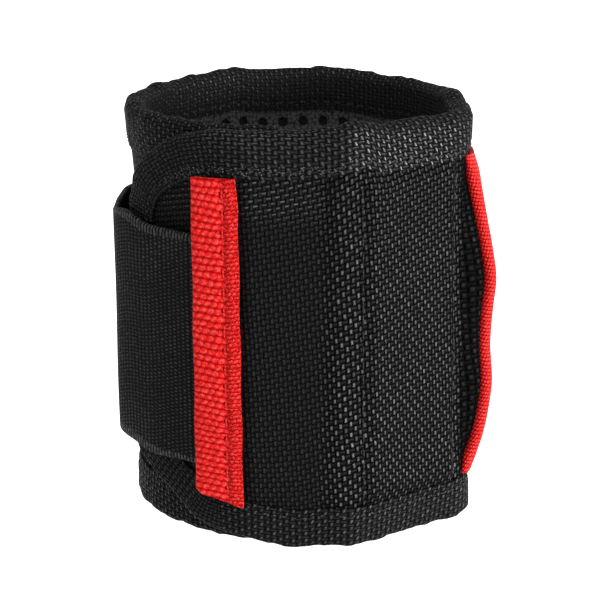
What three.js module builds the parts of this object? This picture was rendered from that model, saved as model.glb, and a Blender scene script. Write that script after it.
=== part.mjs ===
// Magnetic wristband: a padded cloth band, closed round a wrist by an elastic hook-and-loop strap.
// Millimetres, +Z up. The magnet panel faces -Y, and the band stands on its bottom edge.

import * as THREE from 'three';

// Layers of the band, from the outside in
const bandHeight = 90;
const shellThick = 0.6;
const foamThick = 1.8;
const liningThick = 0.6;

// Clearances
const layGap = 0.2; // between layers that lie on each other
const foldGap = 0.4; // slit where two sections of the band meet at a fold
const lapGap = 0.3; // between the outer end and the inner end under it

// Binding tape, folded over every edge of the band
const tapeThick = 0.5;
const tapeWidth = 9.5;
const tapeRoll = 1.2; // depth of the rolled edge
const rollSteps = 5; // flats round the rolled edge
const endCornerAlong = 17; // corner at both ends of the band, along it
const endCornerHigh = 17; // the same corner, up and down
const endNarrow = 1.2; // each edge draws in by this much before the corner
const endNarrowRun = 4; // over this length

// Plan of the band at the outer face of its shell, from the outer end round to the inner end
const leftPadFlat = 18.4; // flat stretch behind the left magnet carrier
const rightPadFlat = 23.2; // the right one, with a soft stretch beside its carrier
const padTurn = 37; // degrees between the two flats
const leftFoldRadius = 17;
const middleFoldRadius = 8;
const rightFoldRadius = 10;
const leftFoldTurn = 40;
const lapRadius = 36; // inner end where the outer end lies over it
const lapTurn = 20;
const lapFlat = 6; // straight stretch just left of the left fold
const leftWallRadius = 34;
const flapReach = 1; // how far the outer end runs on round the left wall
const innerEndRun = 19; // how far the inner end runs on behind the front

// Magnets and their carriers
const magnetCount = 5; // in each carrier
const magnetWidth = 14.6;
const magnetThick = 1.5;
const magnetPlay = 0.2; // clearance round a magnet in its window
const carrierRim = 1.1; // carrier beside and between the windows
const carrierFoot = 6.3; // flat panel below a carrier
const carrierHead = 5.7; // flat panel above it

// Magnet panel
const panelThick = 0.6;
const panelRamp = 1.6; // slope from a raised pad down to the sewn rows

// Red webbing, folded double
const webbingThick = 1.5;
const webbingWidth = 9.8;
const webbingBulge = 4; // how far the right strip stands off the band at mid height
const webbingMargin = 6; // free edge of the panel between its right sewn row and the right strip

// Elastic strap with its hook patch, and the loop panel that it closes on
const strapThick = 1.3;
const strapWidth = 50;
const strapDrop = 2.5; // middle of the strap below the middle of the band
const strapAnchor = 6; // length sewn under the left strip
const strapTurnRadius = 11; // where the strap leaves the outer end
const tailFoldAt = 150; // polar angle of the strap's fold, in degrees round the back
const tailEndAt = 100; // polar angle where the strap ends
const hookThick = 0.7;
const hookInset = 3; // strap left bare round the hook patch
const loopThick = 0.7;
const loopFrom = 94; // polar angles of the loop panel's ends
const loopTo = 184;
const loopMargin = 2; // loop panel above and below the strap

// Folds of the band where it opens
const sideFoldGap = 2; // from the right strip to the side fold
const backFoldAt = 50; // polar angle of the fold behind the right side

// Fineness of round stretches
const stepTurn = 6; // degrees
const leastStep = 0.05; // shortest step between two cuts
const cornerSteps = 6; // per quarter turn
const bulgeRows = 8;
const endLegSteps = 3; // flats across the tape where it rounds an end

// Sizes that follow
const bandThick = shellThick + foamThick + liningThick + 2 * layGap;
const tapeOut = layGap + tapeThick; // outer face of the binding above the shell
const lapShift = bandThick + 2 * tapeOut + lapGap; // step from the outer end to the inner end
const edgeInset = tapeRoll + layGap; // layers end this far inside the rolled edge
const leftWallTurn = 90 - leftFoldTurn - lapTurn;
const rightFoldTurn = 90 - padTurn;
const carrierWidth = magnetWidth + 2 * (magnetPlay + carrierRim);
const padRise = magnetThick + layGap; // raised pads above the rest of the panel
const strapLift = tapeOut + layGap; // strap's inner face above the outer end's shell
const loopRadiusStep = layGap + loopThick + lapGap + hookThick + layGap; // shell to the strap's inner face
const trimBase = tapeWidth + layGap; // panel and webbing lie between the two bindings
const trimTop = bandHeight - trimBase;
const carrierBase = trimBase + carrierFoot;
const carrierHeight = trimTop - carrierHead - carrierBase;
const carrierPitch = (carrierHeight - carrierRim) / magnetCount;
const windowHeight = carrierPitch - carrierRim;
const magnetHeight = windowHeight - 2 * magnetPlay;
const strapBase = (bandHeight - strapWidth) / 2 - strapDrop;
const webbingLift = layGap + strapThick + layGap; // left strip lies over the strap's sewn end

const radians = THREE.MathUtils.degToRad;
const degrees = THREE.MathUtils.radToDeg;

const straight = (length) => ({ length, turn: 0 });
const bend = (radius, turn) => ({ length: radius * Math.abs(radians(turn)), turn });

// A line in plan made of straights and arcs. outSide is 1 where its right side faces out, else -1.
class PlanPath {
  constructor(start, heading, pieces, outSide) {
    this.outSide = outSide;
    this.pieces = [];
    let from = start;
    let angle = heading;
    let s = 0;
    for (const { length, turn } of pieces) {
      const piece = { s, length, turn, from, angle };
      this.pieces.push(piece);
      from = this.along(piece, length).point;
      angle += turn;
      s += length;
    }
    this.length = s;
  }

  along(piece, run) {
    const before = radians(piece.angle);
    if (piece.turn === 0) {
      const step = new THREE.Vector2(Math.cos(before), Math.sin(before)).multiplyScalar(run);
      return { point: piece.from.clone().add(step), heading: piece.angle };
    }
    const heading = piece.angle + (piece.turn * run) / piece.length;
    const after = radians(heading);
    const radius = piece.length / radians(piece.turn);
    const step = new THREE.Vector2(Math.sin(after) - Math.sin(before), Math.cos(before) - Math.cos(after));
    return { point: piece.from.clone().addScaledVector(step, radius), heading };
  }

  at(s) {
    const piece = this.pieces.findLast((p) => p.s <= s) ?? this.pieces[0];
    return this.along(piece, s - piece.s);
  }

  outward(s) {
    const angle = radians(this.at(s).heading);
    return new THREE.Vector2(Math.sin(angle), -Math.cos(angle)).multiplyScalar(this.outSide);
  }

  // The point t outside the line
  offset(s, t) {
    return this.at(s).point.addScaledVector(this.outward(s), t);
  }

  // Where the line first reaches a heading
  headingAt(heading) {
    const reach = (p) => (heading - p.angle) / p.turn;
    const piece = this.pieces.find((p) => p.turn !== 0 && reach(p) >= 0 && reach(p) <= 1);
    return piece.s + piece.length * reach(piece);
  }

  // Places to cut the stretch from s0 to s1 so that no step turns more than stepTurn
  stations(s0, s1, extra = []) {
    const marks = [s0, s1, ...extra.filter((s) => s > s0 && s < s1)];
    for (const { s, length, turn } of this.pieces) {
      const steps = Math.max(1, Math.ceil(Math.abs(turn) / stepTurn));
      for (let i = 0; i <= steps; i++) {
        const mark = s + (length * i) / steps;
        if (mark > s0 && mark < s1) marks.push(mark);
      }
    }
    return spaced(marks);
  }
}

// Sorted values, without those that nearly repeat the one before, and with both ends kept
function spaced(values) {
  const sorted = values.toSorted((a, b) => a - b);
  const last = sorted.at(-1);
  const kept = [];
  for (const value of sorted) {
    if (kept.length === 0 || value - kept.at(-1) > leastStep) kept.push(value);
  }
  if (last - kept.at(-1) > 0) kept[kept.length - 1] = last;
  return kept;
}

function evenly(from, to, steps) {
  return Array.from({ length: steps + 1 }, (_, i) => from + ((to - from) * i) / steps);
}

// From 0 at the foot of a slope to 1 at its head
const ramp = (value, foot, head) => THREE.MathUtils.clamp((value - foot) / (head - foot), 0, 1);

// The band closes on itself, so the back radius and the side flat follow from the other stretches
function closeBand() {
  const arc = (radius, from, to) => [
    radius * (Math.sin(radians(to)) - Math.sin(radians(from))),
    radius * (Math.cos(radians(from)) - Math.cos(radians(to))),
  ];
  const line = (length, heading) => [length * Math.cos(radians(heading)), length * Math.sin(radians(heading))];
  const leftHeading = -leftFoldTurn;
  const lapHeading = leftHeading - lapTurn;
  const known = [
    arc(leftFoldRadius, leftHeading, 0),
    line(leftPadFlat, 0),
    arc(middleFoldRadius, 0, padTurn),
    line(rightPadFlat, padTurn),
    arc(rightFoldRadius, padTurn, 90),
    arc(leftWallRadius, -90, lapHeading),
    arc(lapRadius, lapHeading, leftHeading),
    line(lapFlat, leftHeading),
    line(-lapShift, leftHeading + 90),
  ];
  const across = known.reduce((sum, step) => sum + step[0], 0);
  const depth = known.reduce((sum, step) => sum + step[1], 0);
  return { backRadius: across / 2, sideFlat: -depth };
}

const { backRadius, sideFlat } = closeBand();
const flapTurn = degrees(flapReach / (leftWallRadius + lapShift));

const band = new PlanPath(
  new THREE.Vector2(0, 0),
  -leftFoldTurn - lapTurn - flapTurn,
  [
    bend(leftWallRadius + lapShift, flapTurn),
    bend(lapRadius + lapShift, lapTurn),
    straight(lapFlat),
    bend(leftFoldRadius, leftFoldTurn),
    straight(leftPadFlat),
    bend(middleFoldRadius, padTurn),
    straight(rightPadFlat),
    bend(rightFoldRadius, rightFoldTurn),
    straight(sideFlat),
    bend(backRadius, 180),
    bend(leftWallRadius, leftWallTurn),
    bend(lapRadius, lapTurn),
    straight(lapFlat),
    bend(leftFoldRadius - lapShift, leftFoldTurn),
    straight(innerEndRun),
  ],
  1,
);

// Stretches of the band that others refer to, by their place in its path
const lapFlatPiece = 2;
const leftPadPiece = 4;
const rightPadPiece = 6;
const backPiece = 9;
const pieceStart = (index) => band.pieces[index].s;
const onBack = (polar) => pieceStart(backPiece) + backRadius * radians(polar);
const backCentre = band.offset(pieceStart(backPiece), -backRadius);

// Places along the band
const leftPad = pieceStart(leftPadPiece) + leftPadFlat / 2;
const rightPad = pieceStart(rightPadPiece) + rightPadFlat - leftPadFlat / 2;
const padHalf = carrierWidth / 2 + layGap;
const leftSewn = leftPad - padHalf - panelRamp;
const rightSewn = rightPad + padHalf + panelRamp;
const leftWebbing = [leftSewn - layGap - webbingWidth, leftSewn - layGap];
const leftFold = leftWebbing[0] - foldGap;
const panelFrom = leftWebbing[0] + strapAnchor + layGap;
const rightWebbing = [rightSewn + webbingMargin, rightSewn + webbingMargin + webbingWidth];
const panelTo = rightWebbing[0] - layGap;
const sideFold = rightWebbing[1] + sideFoldGap;
const backFold = onBack(backFoldAt);

// The strap runs back over the outer end, turns off it, and then lies on the loop panel
function strapPath() {
  const lapOut = lapShift + strapLift;
  const heading = band.at(leftFold).heading + 180;
  const overFlap = [
    straight(leftFold - pieceStart(lapFlatPiece)),
    bend(lapRadius + lapOut, -lapTurn),
    bend(leftWallRadius + lapOut, -flapTurn),
  ];
  const start = band.offset(leftFold, strapLift);
  const tip = new PlanPath(start, heading, overFlap, -1);
  const tipHeading = heading - lapTurn - flapTurn;
  const inward = tip.outward(tip.length).negate();
  const ringRadius = backRadius + loopRadiusStep;
  const turnCentre = tip.at(tip.length).point.addScaledVector(inward, strapTurnRadius);
  const between = turnCentre.clone().sub(backCentre);
  const spread = Math.acos((strapTurnRadius - ringRadius) / between.length());
  const touchHeading = THREE.MathUtils.euclideanModulo(degrees(between.angle() + spread) + 90, 360);
  const ringPoint = (polar) => new THREE.Vector2(Math.cos(radians(polar)), Math.sin(radians(polar)));
  const leave = turnCentre.clone().addScaledVector(ringPoint(touchHeading + 90), strapTurnRadius);
  const meet = backCentre.clone().addScaledVector(ringPoint(touchHeading + 90), ringRadius);
  const pieces = [
    ...overFlap,
    bend(strapTurnRadius, touchHeading - tipHeading),
    straight(leave.distanceTo(meet)),
    bend(ringRadius, tailEndAt - 90 - touchHeading),
  ];
  return new PlanPath(start, heading, pieces, -1);
}

const strap = strapPath();
const tailFold = strap.headingAt(tailFoldAt - 90);

// A closed mesh from shared vertices, turned so that its faces point out
function closedGeometry(points, triangles) {
  let volume = 0;
  for (const [a, b, c] of triangles) {
    volume += points[a].dot(points[b].clone().cross(points[c]));
  }
  const index = volume > 0 ? triangles : triangles.map(([a, b, c]) => [a, c, b]);
  const geometry = new THREE.BufferGeometry().setFromPoints(points);
  geometry.setIndex(index.flat());
  geometry.computeVertexNormals();
  return geometry;
}

function quad(triangles, a, b, c, d) {
  triangles.push([a, b, c], [a, c, d]);
}

// A sheet that follows a path: rows(s) gives its heights at s, inner and outer give its two faces
function sheet(path, stations, rows, inner, outer) {
  const points = [];
  const triangles = [];
  const across = rows(stations[0]).length;
  const count = stations.length;
  for (const face of [outer, inner]) {
    for (const s of stations) {
      for (const z of rows(s)) {
        const plan = path.offset(s, face(s, z));
        points.push(new THREE.Vector3(plan.x, plan.y, z));
      }
    }
  }
  const out = (i, j) => i * across + j;
  const back = (i, j) => (count + i) * across + j;
  for (let i = 0; i + 1 < count; i++) {
    for (let j = 0; j + 1 < across; j++) {
      quad(triangles, out(i, j), out(i + 1, j), out(i + 1, j + 1), out(i, j + 1));
      quad(triangles, back(i, j), back(i, j + 1), back(i + 1, j + 1), back(i + 1, j));
    }
    quad(triangles, out(i, 0), back(i, 0), back(i + 1, 0), out(i + 1, 0));
    quad(triangles, out(i, across - 1), out(i + 1, across - 1), back(i + 1, across - 1), back(i, across - 1));
  }
  for (let j = 0; j + 1 < across; j++) {
    quad(triangles, out(0, j), out(0, j + 1), back(0, j + 1), back(0, j));
    quad(triangles, out(count - 1, j), back(count - 1, j), back(count - 1, j + 1), out(count - 1, j + 1));
  }
  return closedGeometry(points, triangles);
}

// A sheet of even thickness and height
function plainSheet(path, s0, s1, z0, z1, t0, t1) {
  return sheet(path, path.stations(s0, s1), () => [z0, z1], () => t0, () => t1);
}

// One layer of a section of the band that ends at two folds
function layer(s0, s1, t0, t1) {
  return plainSheet(band, s0, s1, edgeInset, bandHeight - edgeInset, t0, t1);
}

// One layer of a section that runs from a fold to a round-cornered end
function endLayer(fold, end, t0, t1) {
  const towards = Math.sign(fold - end);
  const tip = end + towards * edgeInset;
  const along = endCornerAlong - edgeInset;
  const high = endCornerHigh - edgeInset;
  const cornerAt = end + towards * endCornerAlong;
  const narrowAt = cornerAt + towards * endNarrowRun;
  const cornerMarks = evenly(0, Math.PI / 2, cornerSteps).map((a) => tip + towards * along * (1 - Math.cos(a)));
  const rise = (s) => {
    const share = THREE.MathUtils.clamp(1 - Math.abs(s - tip) / along, 0, 1);
    return endNarrow * ramp(s, narrowAt, cornerAt) + high * (1 - Math.sqrt(1 - share * share));
  };
  const rows = (s) => [edgeInset + rise(s), bandHeight - edgeInset - rise(s)];
  const marks = [narrowAt, cornerAt, ...cornerMarks];
  const stations = band.stations(Math.min(fold, tip), Math.max(fold, tip), marks);
  return sheet(band, stations, rows, () => t0, () => t1);
}

// Faces of the three layers, outside the shell's outer face
const shellFaces = [-shellThick, 0];
const foamFaces = [shellFaces[0] - layGap - foamThick, shellFaces[0] - layGap];
const liningFaces = [-bandThick, foamFaces[0] - layGap];

// Section of the folded tape: in from the edge, and outside the shell. Its two legs have legSteps flats.
function tapeSection(legSteps) {
  const outerFace = tapeOut;
  const innerFace = -bandThick - tapeOut;
  const middle = (outerFace + innerFace) / 2;
  const half = (outerFace - innerFace) / 2;
  const flat = Math.cos(Math.PI / (2 * rollSteps));
  const roll = evenly(Math.PI / 2, -Math.PI / 2, rollSteps).map((a) => [
    tapeRoll * (1 - Math.cos(a) / flat),
    middle + half * Math.sin(a),
  ]);
  roll[0][0] = tapeRoll;
  roll[rollSteps][0] = tapeRoll;
  const legIn = evenly(tapeWidth, tapeRoll, legSteps);
  const legOut = legIn.toReversed();
  return [
    ...legIn.slice(0, -1).map((depth) => [depth, outerFace]),
    ...roll,
    ...legOut.slice(1).map((depth) => [depth, innerFace]),
    ...legIn.map((depth) => [depth, -bandThick - layGap]),
    ...legOut.map((depth) => [depth, layGap]),
  ];
}

// The tape along a route of edge points, each with its direction into the band
function binding(route, legSteps) {
  const section = tapeSection(legSteps);
  const size = section.length;
  const points = [];
  for (const { s, z, inS, inZ } of route) {
    for (const [depth, t] of section) {
      const plan = band.offset(s + depth * inS, t);
      points.push(new THREE.Vector3(plan.x, plan.y, z + depth * inZ));
    }
  }
  const triangles = [];
  for (let i = 0; i + 1 < route.length; i++) {
    for (let j = 0; j < size; j++) {
      const next = (j + 1) % size;
      quad(triangles, i * size + j, (i + 1) * size + j, (i + 1) * size + next, i * size + next);
    }
  }
  const outline = section.map(([depth, t]) => new THREE.Vector2(depth, t));
  const loopTurn = THREE.ShapeUtils.area(outline);
  const last = (route.length - 1) * size;
  for (const corners of THREE.ShapeUtils.triangulateShape(outline, [])) {
    const turn = THREE.ShapeUtils.area(corners.map((k) => outline[k]));
    const [a, b, c] = turn * loopTurn > 0 ? corners : corners.toReversed();
    triangles.push([a, b, c], [last + a, last + c, last + b]);
  }
  return closedGeometry(points, triangles);
}

const topEdge = (s) => ({ s, z: bandHeight, inS: 0, inZ: -1 });
const bottomEdge = (s) => ({ s, z: 0, inS: 0, inZ: 1 });

// Along the top from a fold, round the end, and back along the bottom
function endRoute(fold, end) {
  const towards = Math.sign(fold - end);
  const cornerAt = end + towards * endCornerAlong;
  const narrowAt = cornerAt + towards * endNarrowRun;
  const run = band.stations(Math.min(fold, cornerAt), Math.max(fold, cornerAt), [narrowAt]);
  const outbound = towards > 0 ? run.toReversed() : run;
  const drawn = (edge, up) => ({ ...edge, z: edge.z - up * endNarrow * ramp(edge.s, narrowAt, cornerAt) });
  const corner = (z, up) =>
    evenly(0, Math.PI / 2, cornerSteps).map((a) => {
      const into = new THREE.Vector2(Math.sin(a) / endCornerAlong, Math.cos(a) / endCornerHigh).normalize();
      return {
        s: cornerAt - towards * endCornerAlong * Math.sin(a),
        z: z + up * endCornerHigh * Math.cos(a),
        inS: towards * into.x,
        inZ: -up * into.y,
      };
    });
  const topCorner = corner(bandHeight - endNarrow - endCornerHigh, 1);
  const bottomCorner = corner(endNarrow + endCornerHigh, -1).reverse();
  return [
    ...outbound.slice(0, -1).map((s) => drawn(topEdge(s), 1)),
    ...topCorner,
    ...bottomCorner,
    ...outbound.toReversed().slice(1).map((s) => drawn(bottomEdge(s), -1)),
  ];
}

// How far the right strip and the free edge of the panel stand off the band at a height
const bulge = (z) => webbingBulge * Math.sqrt(Math.max(0, Math.sin(Math.PI * ramp(z, trimBase, trimTop))));

// The panel rises over each carrier, drops to its sewn rows, and stands off at its free right edge
function magnetPanel() {
  const carrierTop = carrierBase + carrierHeight;
  const padMarks = [leftPad, rightPad].flatMap((s) => [
    s - padHalf - panelRamp,
    s - padHalf,
    s + padHalf,
    s + padHalf + panelRamp,
  ]);
  const padRows = [
    carrierBase - layGap - panelRamp,
    carrierBase - layGap,
    carrierTop + layGap,
    carrierTop + layGap + panelRamp,
  ];
  const rows = spaced([...padRows, ...evenly(trimBase, trimTop, bulgeRows)]);
  const overPad = (s, centre) => ramp(Math.abs(s - centre), padHalf + panelRamp, padHalf);
  const upPad = (z) => Math.min(ramp(z, padRows[0], padRows[1]), ramp(z, padRows[3], padRows[2]));
  const inner = (s, z) => {
    const pad = padRise * Math.min(Math.max(overPad(s, leftPad), overPad(s, rightPad)), upPad(z));
    return layGap + pad + bulge(z) * ramp(s, rightSewn, panelTo);
  };
  const outer = (s, z) => inner(s, z) + panelThick;
  const stations = band.stations(panelFrom, panelTo, [...padMarks, rightSewn]);
  return sheet(band, stations, () => rows, inner, outer);
}

function rightStrip() {
  const rows = evenly(trimBase, trimTop, bulgeRows);
  const inner = (s, z) => layGap + bulge(z);
  const outer = (s, z) => inner(s, z) + webbingThick;
  return sheet(band, band.stations(...rightWebbing), () => rows, inner, outer);
}

function leftStrip() {
  return plainSheet(band, ...leftWebbing, trimBase, trimTop, webbingLift, webbingLift + webbingThick);
}

// A flat carrier with a window for each magnet
function carrier() {
  const half = carrierWidth / 2;
  const outline = new THREE.Shape();
  outline.moveTo(-half, 0).lineTo(half, 0).lineTo(half, carrierHeight).lineTo(-half, carrierHeight).closePath();
  const windowHalf = half - carrierRim;
  for (let i = 0; i < magnetCount; i++) {
    const z0 = carrierRim + i * carrierPitch;
    const z1 = z0 + windowHeight;
    const hole = new THREE.Path();
    hole.moveTo(-windowHalf, z0).lineTo(-windowHalf, z1).lineTo(windowHalf, z1).lineTo(windowHalf, z0).closePath();
    outline.holes.push(hole);
  }
  return new THREE.ExtrudeGeometry(outline, { depth: magnetThick - layGap, bevelEnabled: false });
}

const magnetBlock = () => new THREE.BoxGeometry(magnetWidth, magnetHeight, magnetThick - layGap);
const magnetZ = (i) => carrierRim + i * carrierPitch + windowHeight / 2;

const cloth = (color, roughness) => new THREE.MeshStandardMaterial({ color, roughness, metalness: 0 });
const shellCloth = cloth(0x1b1c1e, 0.8);
const foamSheet = cloth(0x3a3a3c, 0.95);
const meshLining = cloth(0x141416, 0.9);
const bindingTape = cloth(0x161618, 0.85);
const redWebbing = cloth(0xd81f26, 0.7);
const elastic = cloth(0x1e1f22, 0.75);
const hookPile = cloth(0x101012, 0.6);
const loopPile = cloth(0x202024, 1.0);
const carrierPlastic = new THREE.MeshStandardMaterial({ color: 0x2c2c2e, roughness: 0.5, metalness: 0 });
const magnetMetal = new THREE.MeshStandardMaterial({ color: 0xb8babd, roughness: 0.3, metalness: 1 });

function piece(parent, name, geometry, material) {
  const mesh = new THREE.Mesh(geometry, material.clone());
  mesh.name = name;
  parent.add(mesh);
  return mesh;
}

function bandLayers(parent, section, cut) {
  piece(parent, `${section}_shell`, cut(...shellFaces), shellCloth);
  piece(parent, `${section}_foam`, cut(...foamFaces), foamSheet);
  piece(parent, `${section}_lining`, cut(...liningFaces), meshLining);
}

function edgeBindings(parent, section, s0, s1) {
  const run = band.stations(s0, s1);
  piece(parent, `${section}_top_binding`, binding(run.map(topEdge), 1), bindingTape);
  piece(parent, `${section}_bottom_binding`, binding(run.map(bottomEdge), 1), bindingTape);
}

// A carrier and its magnets, laid on the shell at a flat of the band
function magnetPack(parent, side, s) {
  const pack = new THREE.Group();
  const seat = band.offset(s, layGap);
  const out = band.outward(s);
  const along = new THREE.Vector3(-out.y, out.x, 0);
  const up = new THREE.Vector3(0, 0, 1);
  pack.quaternion.setFromRotationMatrix(
    new THREE.Matrix4().makeBasis(along, up, new THREE.Vector3(out.x, out.y, 0)),
  );
  pack.position.set(seat.x, seat.y, carrierBase);
  piece(pack, `${side}_magnet_carrier`, carrier(), carrierPlastic);
  for (let i = 0; i < magnetCount; i++) {
    const magnet = piece(pack, `${side}_magnet_${i + 1}`, magnetBlock(), magnetMetal);
    magnet.position.set(0, magnetZ(i), (magnetThick - layGap) / 2);
  }
  parent.add(pack);
}

function frontSection() {
  const front = new THREE.Group();
  const s0 = leftFold + foldGap / 2;
  const s1 = sideFold - foldGap / 2;
  bandLayers(front, 'front', (t0, t1) => layer(s0, s1, t0, t1));
  edgeBindings(front, 'front', s0, s1);
  magnetPack(front, 'left', leftPad);
  magnetPack(front, 'right', rightPad);
  piece(front, 'magnet_panel', magnetPanel(), shellCloth);
  piece(front, 'left_red_webbing', leftStrip(), redWebbing);
  piece(front, 'right_red_webbing', rightStrip(), redWebbing);
  const anchor = plainSheet(
    band,
    leftWebbing[0],
    leftWebbing[0] + strapAnchor,
    strapBase,
    strapBase + strapWidth,
    layGap,
    layGap + strapThick,
  );
  piece(front, 'strap_sewn_end', anchor, elastic);
  return front;
}

function outerEnd() {
  const flap = new THREE.Group();
  const fold = leftFold - foldGap / 2;
  bandLayers(flap, 'outer_end', (t0, t1) => endLayer(fold, 0, t0, t1));
  piece(flap, 'outer_end_binding', binding(endRoute(fold, 0), endLegSteps), bindingTape);
  return flap;
}

function sideSection() {
  const side = new THREE.Group();
  const s0 = sideFold + foldGap / 2;
  const s1 = backFold - foldGap / 2;
  bandLayers(side, 'side', (t0, t1) => layer(s0, s1, t0, t1));
  edgeBindings(side, 'side', s0, s1);
  return side;
}

function backSection() {
  const back = new THREE.Group();
  const fold = backFold + foldGap / 2;
  bandLayers(back, 'back', (t0, t1) => endLayer(fold, band.length, t0, t1));
  piece(back, 'back_binding', binding(endRoute(fold, band.length), endLegSteps), bindingTape);
  const loop = plainSheet(
    band,
    onBack(loopFrom),
    onBack(loopTo),
    strapBase - loopMargin,
    strapBase + strapWidth + loopMargin,
    layGap,
    layGap + loopThick,
  );
  piece(back, 'loop_panel', loop, loopPile);
  return back;
}

function strapSection() {
  const group = new THREE.Group();
  const strapTop = strapBase + strapWidth;
  const run = plainSheet(strap, foldGap, tailFold - foldGap / 2, strapBase, strapTop, 0, strapThick);
  const tail = plainSheet(strap, tailFold + foldGap / 2, strap.length, strapBase, strapTop, 0, strapThick);
  const hook = plainSheet(
    strap,
    tailFold + hookInset,
    strap.length - hookInset,
    strapBase + hookInset,
    strapTop - hookInset,
    -layGap - hookThick,
    -layGap,
  );
  piece(group, 'strap_run', run, elastic);
  piece(group, 'strap_tail', tail, elastic);
  piece(group, 'hook_patch', hook, hookPile);
  return group;
}

const wristband = new THREE.Group();
wristband.add(frontSection(), outerEnd(), sideSection(), backSection(), strapSection());

// The origin is under the middle of the part, on the surface it stands on
const box = new THREE.Box3().setFromObject(wristband);
const middle = box.getCenter(new THREE.Vector3());
wristband.position.set(-middle.x, -middle.y, -box.min.z);

// Plan places of the hinge lines, all of them upright, on the outermost face at each fold
const placed = (point) => [point.x - middle.x, point.y - middle.y];
wristband.userData.hinges = {
  strap_peel: placed(band.offset(leftFold, webbingLift + webbingThick)),
  outer_end_fold: placed(band.offset(leftFold, webbingLift + webbingThick)),
  strap_tail_fold: placed(strap.offset(tailFold, strapThick)),
  side_fold: placed(band.offset(sideFold, tapeOut)),
  back_fold: placed(band.offset(backFold, tapeOut)),
};

export default wristband;
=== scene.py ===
import math
from functools import partialmethod

import bpy
import numpy as np
from mathutils import Matrix, Vector


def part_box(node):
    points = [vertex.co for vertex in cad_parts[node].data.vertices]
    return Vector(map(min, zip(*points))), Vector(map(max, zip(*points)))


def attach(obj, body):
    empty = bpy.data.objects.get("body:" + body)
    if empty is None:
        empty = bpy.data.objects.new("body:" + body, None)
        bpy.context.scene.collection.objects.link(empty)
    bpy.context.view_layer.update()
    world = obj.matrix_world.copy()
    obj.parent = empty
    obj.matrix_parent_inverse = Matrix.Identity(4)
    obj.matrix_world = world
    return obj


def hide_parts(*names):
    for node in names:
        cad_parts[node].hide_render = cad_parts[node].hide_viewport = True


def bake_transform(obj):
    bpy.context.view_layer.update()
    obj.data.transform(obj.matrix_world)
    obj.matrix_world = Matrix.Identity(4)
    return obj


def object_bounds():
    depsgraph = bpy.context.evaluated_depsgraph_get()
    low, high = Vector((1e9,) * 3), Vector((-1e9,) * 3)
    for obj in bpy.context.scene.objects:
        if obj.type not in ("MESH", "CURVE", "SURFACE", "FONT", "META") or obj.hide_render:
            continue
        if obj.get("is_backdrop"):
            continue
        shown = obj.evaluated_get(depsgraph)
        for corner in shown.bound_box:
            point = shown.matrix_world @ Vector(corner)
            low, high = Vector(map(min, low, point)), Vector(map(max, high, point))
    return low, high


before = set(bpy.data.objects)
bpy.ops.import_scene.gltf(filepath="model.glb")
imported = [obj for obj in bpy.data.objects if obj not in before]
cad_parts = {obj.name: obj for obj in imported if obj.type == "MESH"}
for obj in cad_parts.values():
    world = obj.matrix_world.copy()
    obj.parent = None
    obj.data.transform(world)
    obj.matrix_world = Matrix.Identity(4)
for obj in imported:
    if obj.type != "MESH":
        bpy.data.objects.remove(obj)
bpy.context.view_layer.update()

mm = 0.001  # the script counts in millimetres, Blender in metres
clothMap = "cloth"  # every piece carries its cloth's own millimetres in this map


# small curves

def ease(value, start, end):
    share = np.clip((np.asarray(value, float) - start) / (end - start), 0, 1)
    return share * share * (3 - 2 * share)


def hump(value, middle, width):
    return np.exp(-(((np.asarray(value, float) - middle) / width) ** 2))


def swell(place, length, phase=0.0):
    return np.sin(place * 2 * math.pi / length + phase)


def softWaves(s, z, waves):  # each wave has a height, a length along and up, and a phase
    return sum(high * np.sin(s / sLength + z / zLength + phase) for high, sLength, zLength, phase in waves)


def throughPoints(value, knots):  # an even curve through a few given points
    places, heights = np.array(knots, float).T
    value = np.clip(np.asarray(value, float), places[0], places[-1])
    slopes = np.gradient(heights, places)
    k = np.clip(np.searchsorted(places, value, side="right") - 1, 0, len(places) - 2)
    span = places[k + 1] - places[k]
    q = (value - places[k]) / span
    rise = (2 * q**3 - 3 * q**2 + 1) * heights[k] + (3 * q**2 - 2 * q**3) * heights[k + 1]
    return rise + span * ((q**3 - 2 * q**2 + q) * slopes[k] + (q**3 - q**2) * slopes[k + 1])


def along(start, end, step):
    return np.linspace(start, end, max(2, int(round(abs(end - start) / step)) + 1))


def together(*values):  # arrays of one shape
    return np.broadcast_arrays(*(np.asarray(value, float) for value in values))


def columns(*values):  # side by side, on a last axis
    return np.stack(np.broadcast_arrays(*values), -1)


def thereAndBack(front, back):  # a closed section, out along one face and back along the other
    return np.concatenate([front, back[:, ::-1]], 1)


def runAlong(x, y):  # length along a line of points, at each of them
    return np.concatenate([[0], np.cumsum(np.hypot(np.diff(x), np.diff(y)))])


def steady(value):  # the same at every place
    return lambda place: value + 0 * place


def faceAt(face, s, z):  # a face is one height, or a function of the place
    return face(s, z) if callable(face) else np.full(np.broadcast(s, z).shape, float(face))


# plan of the ring

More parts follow.
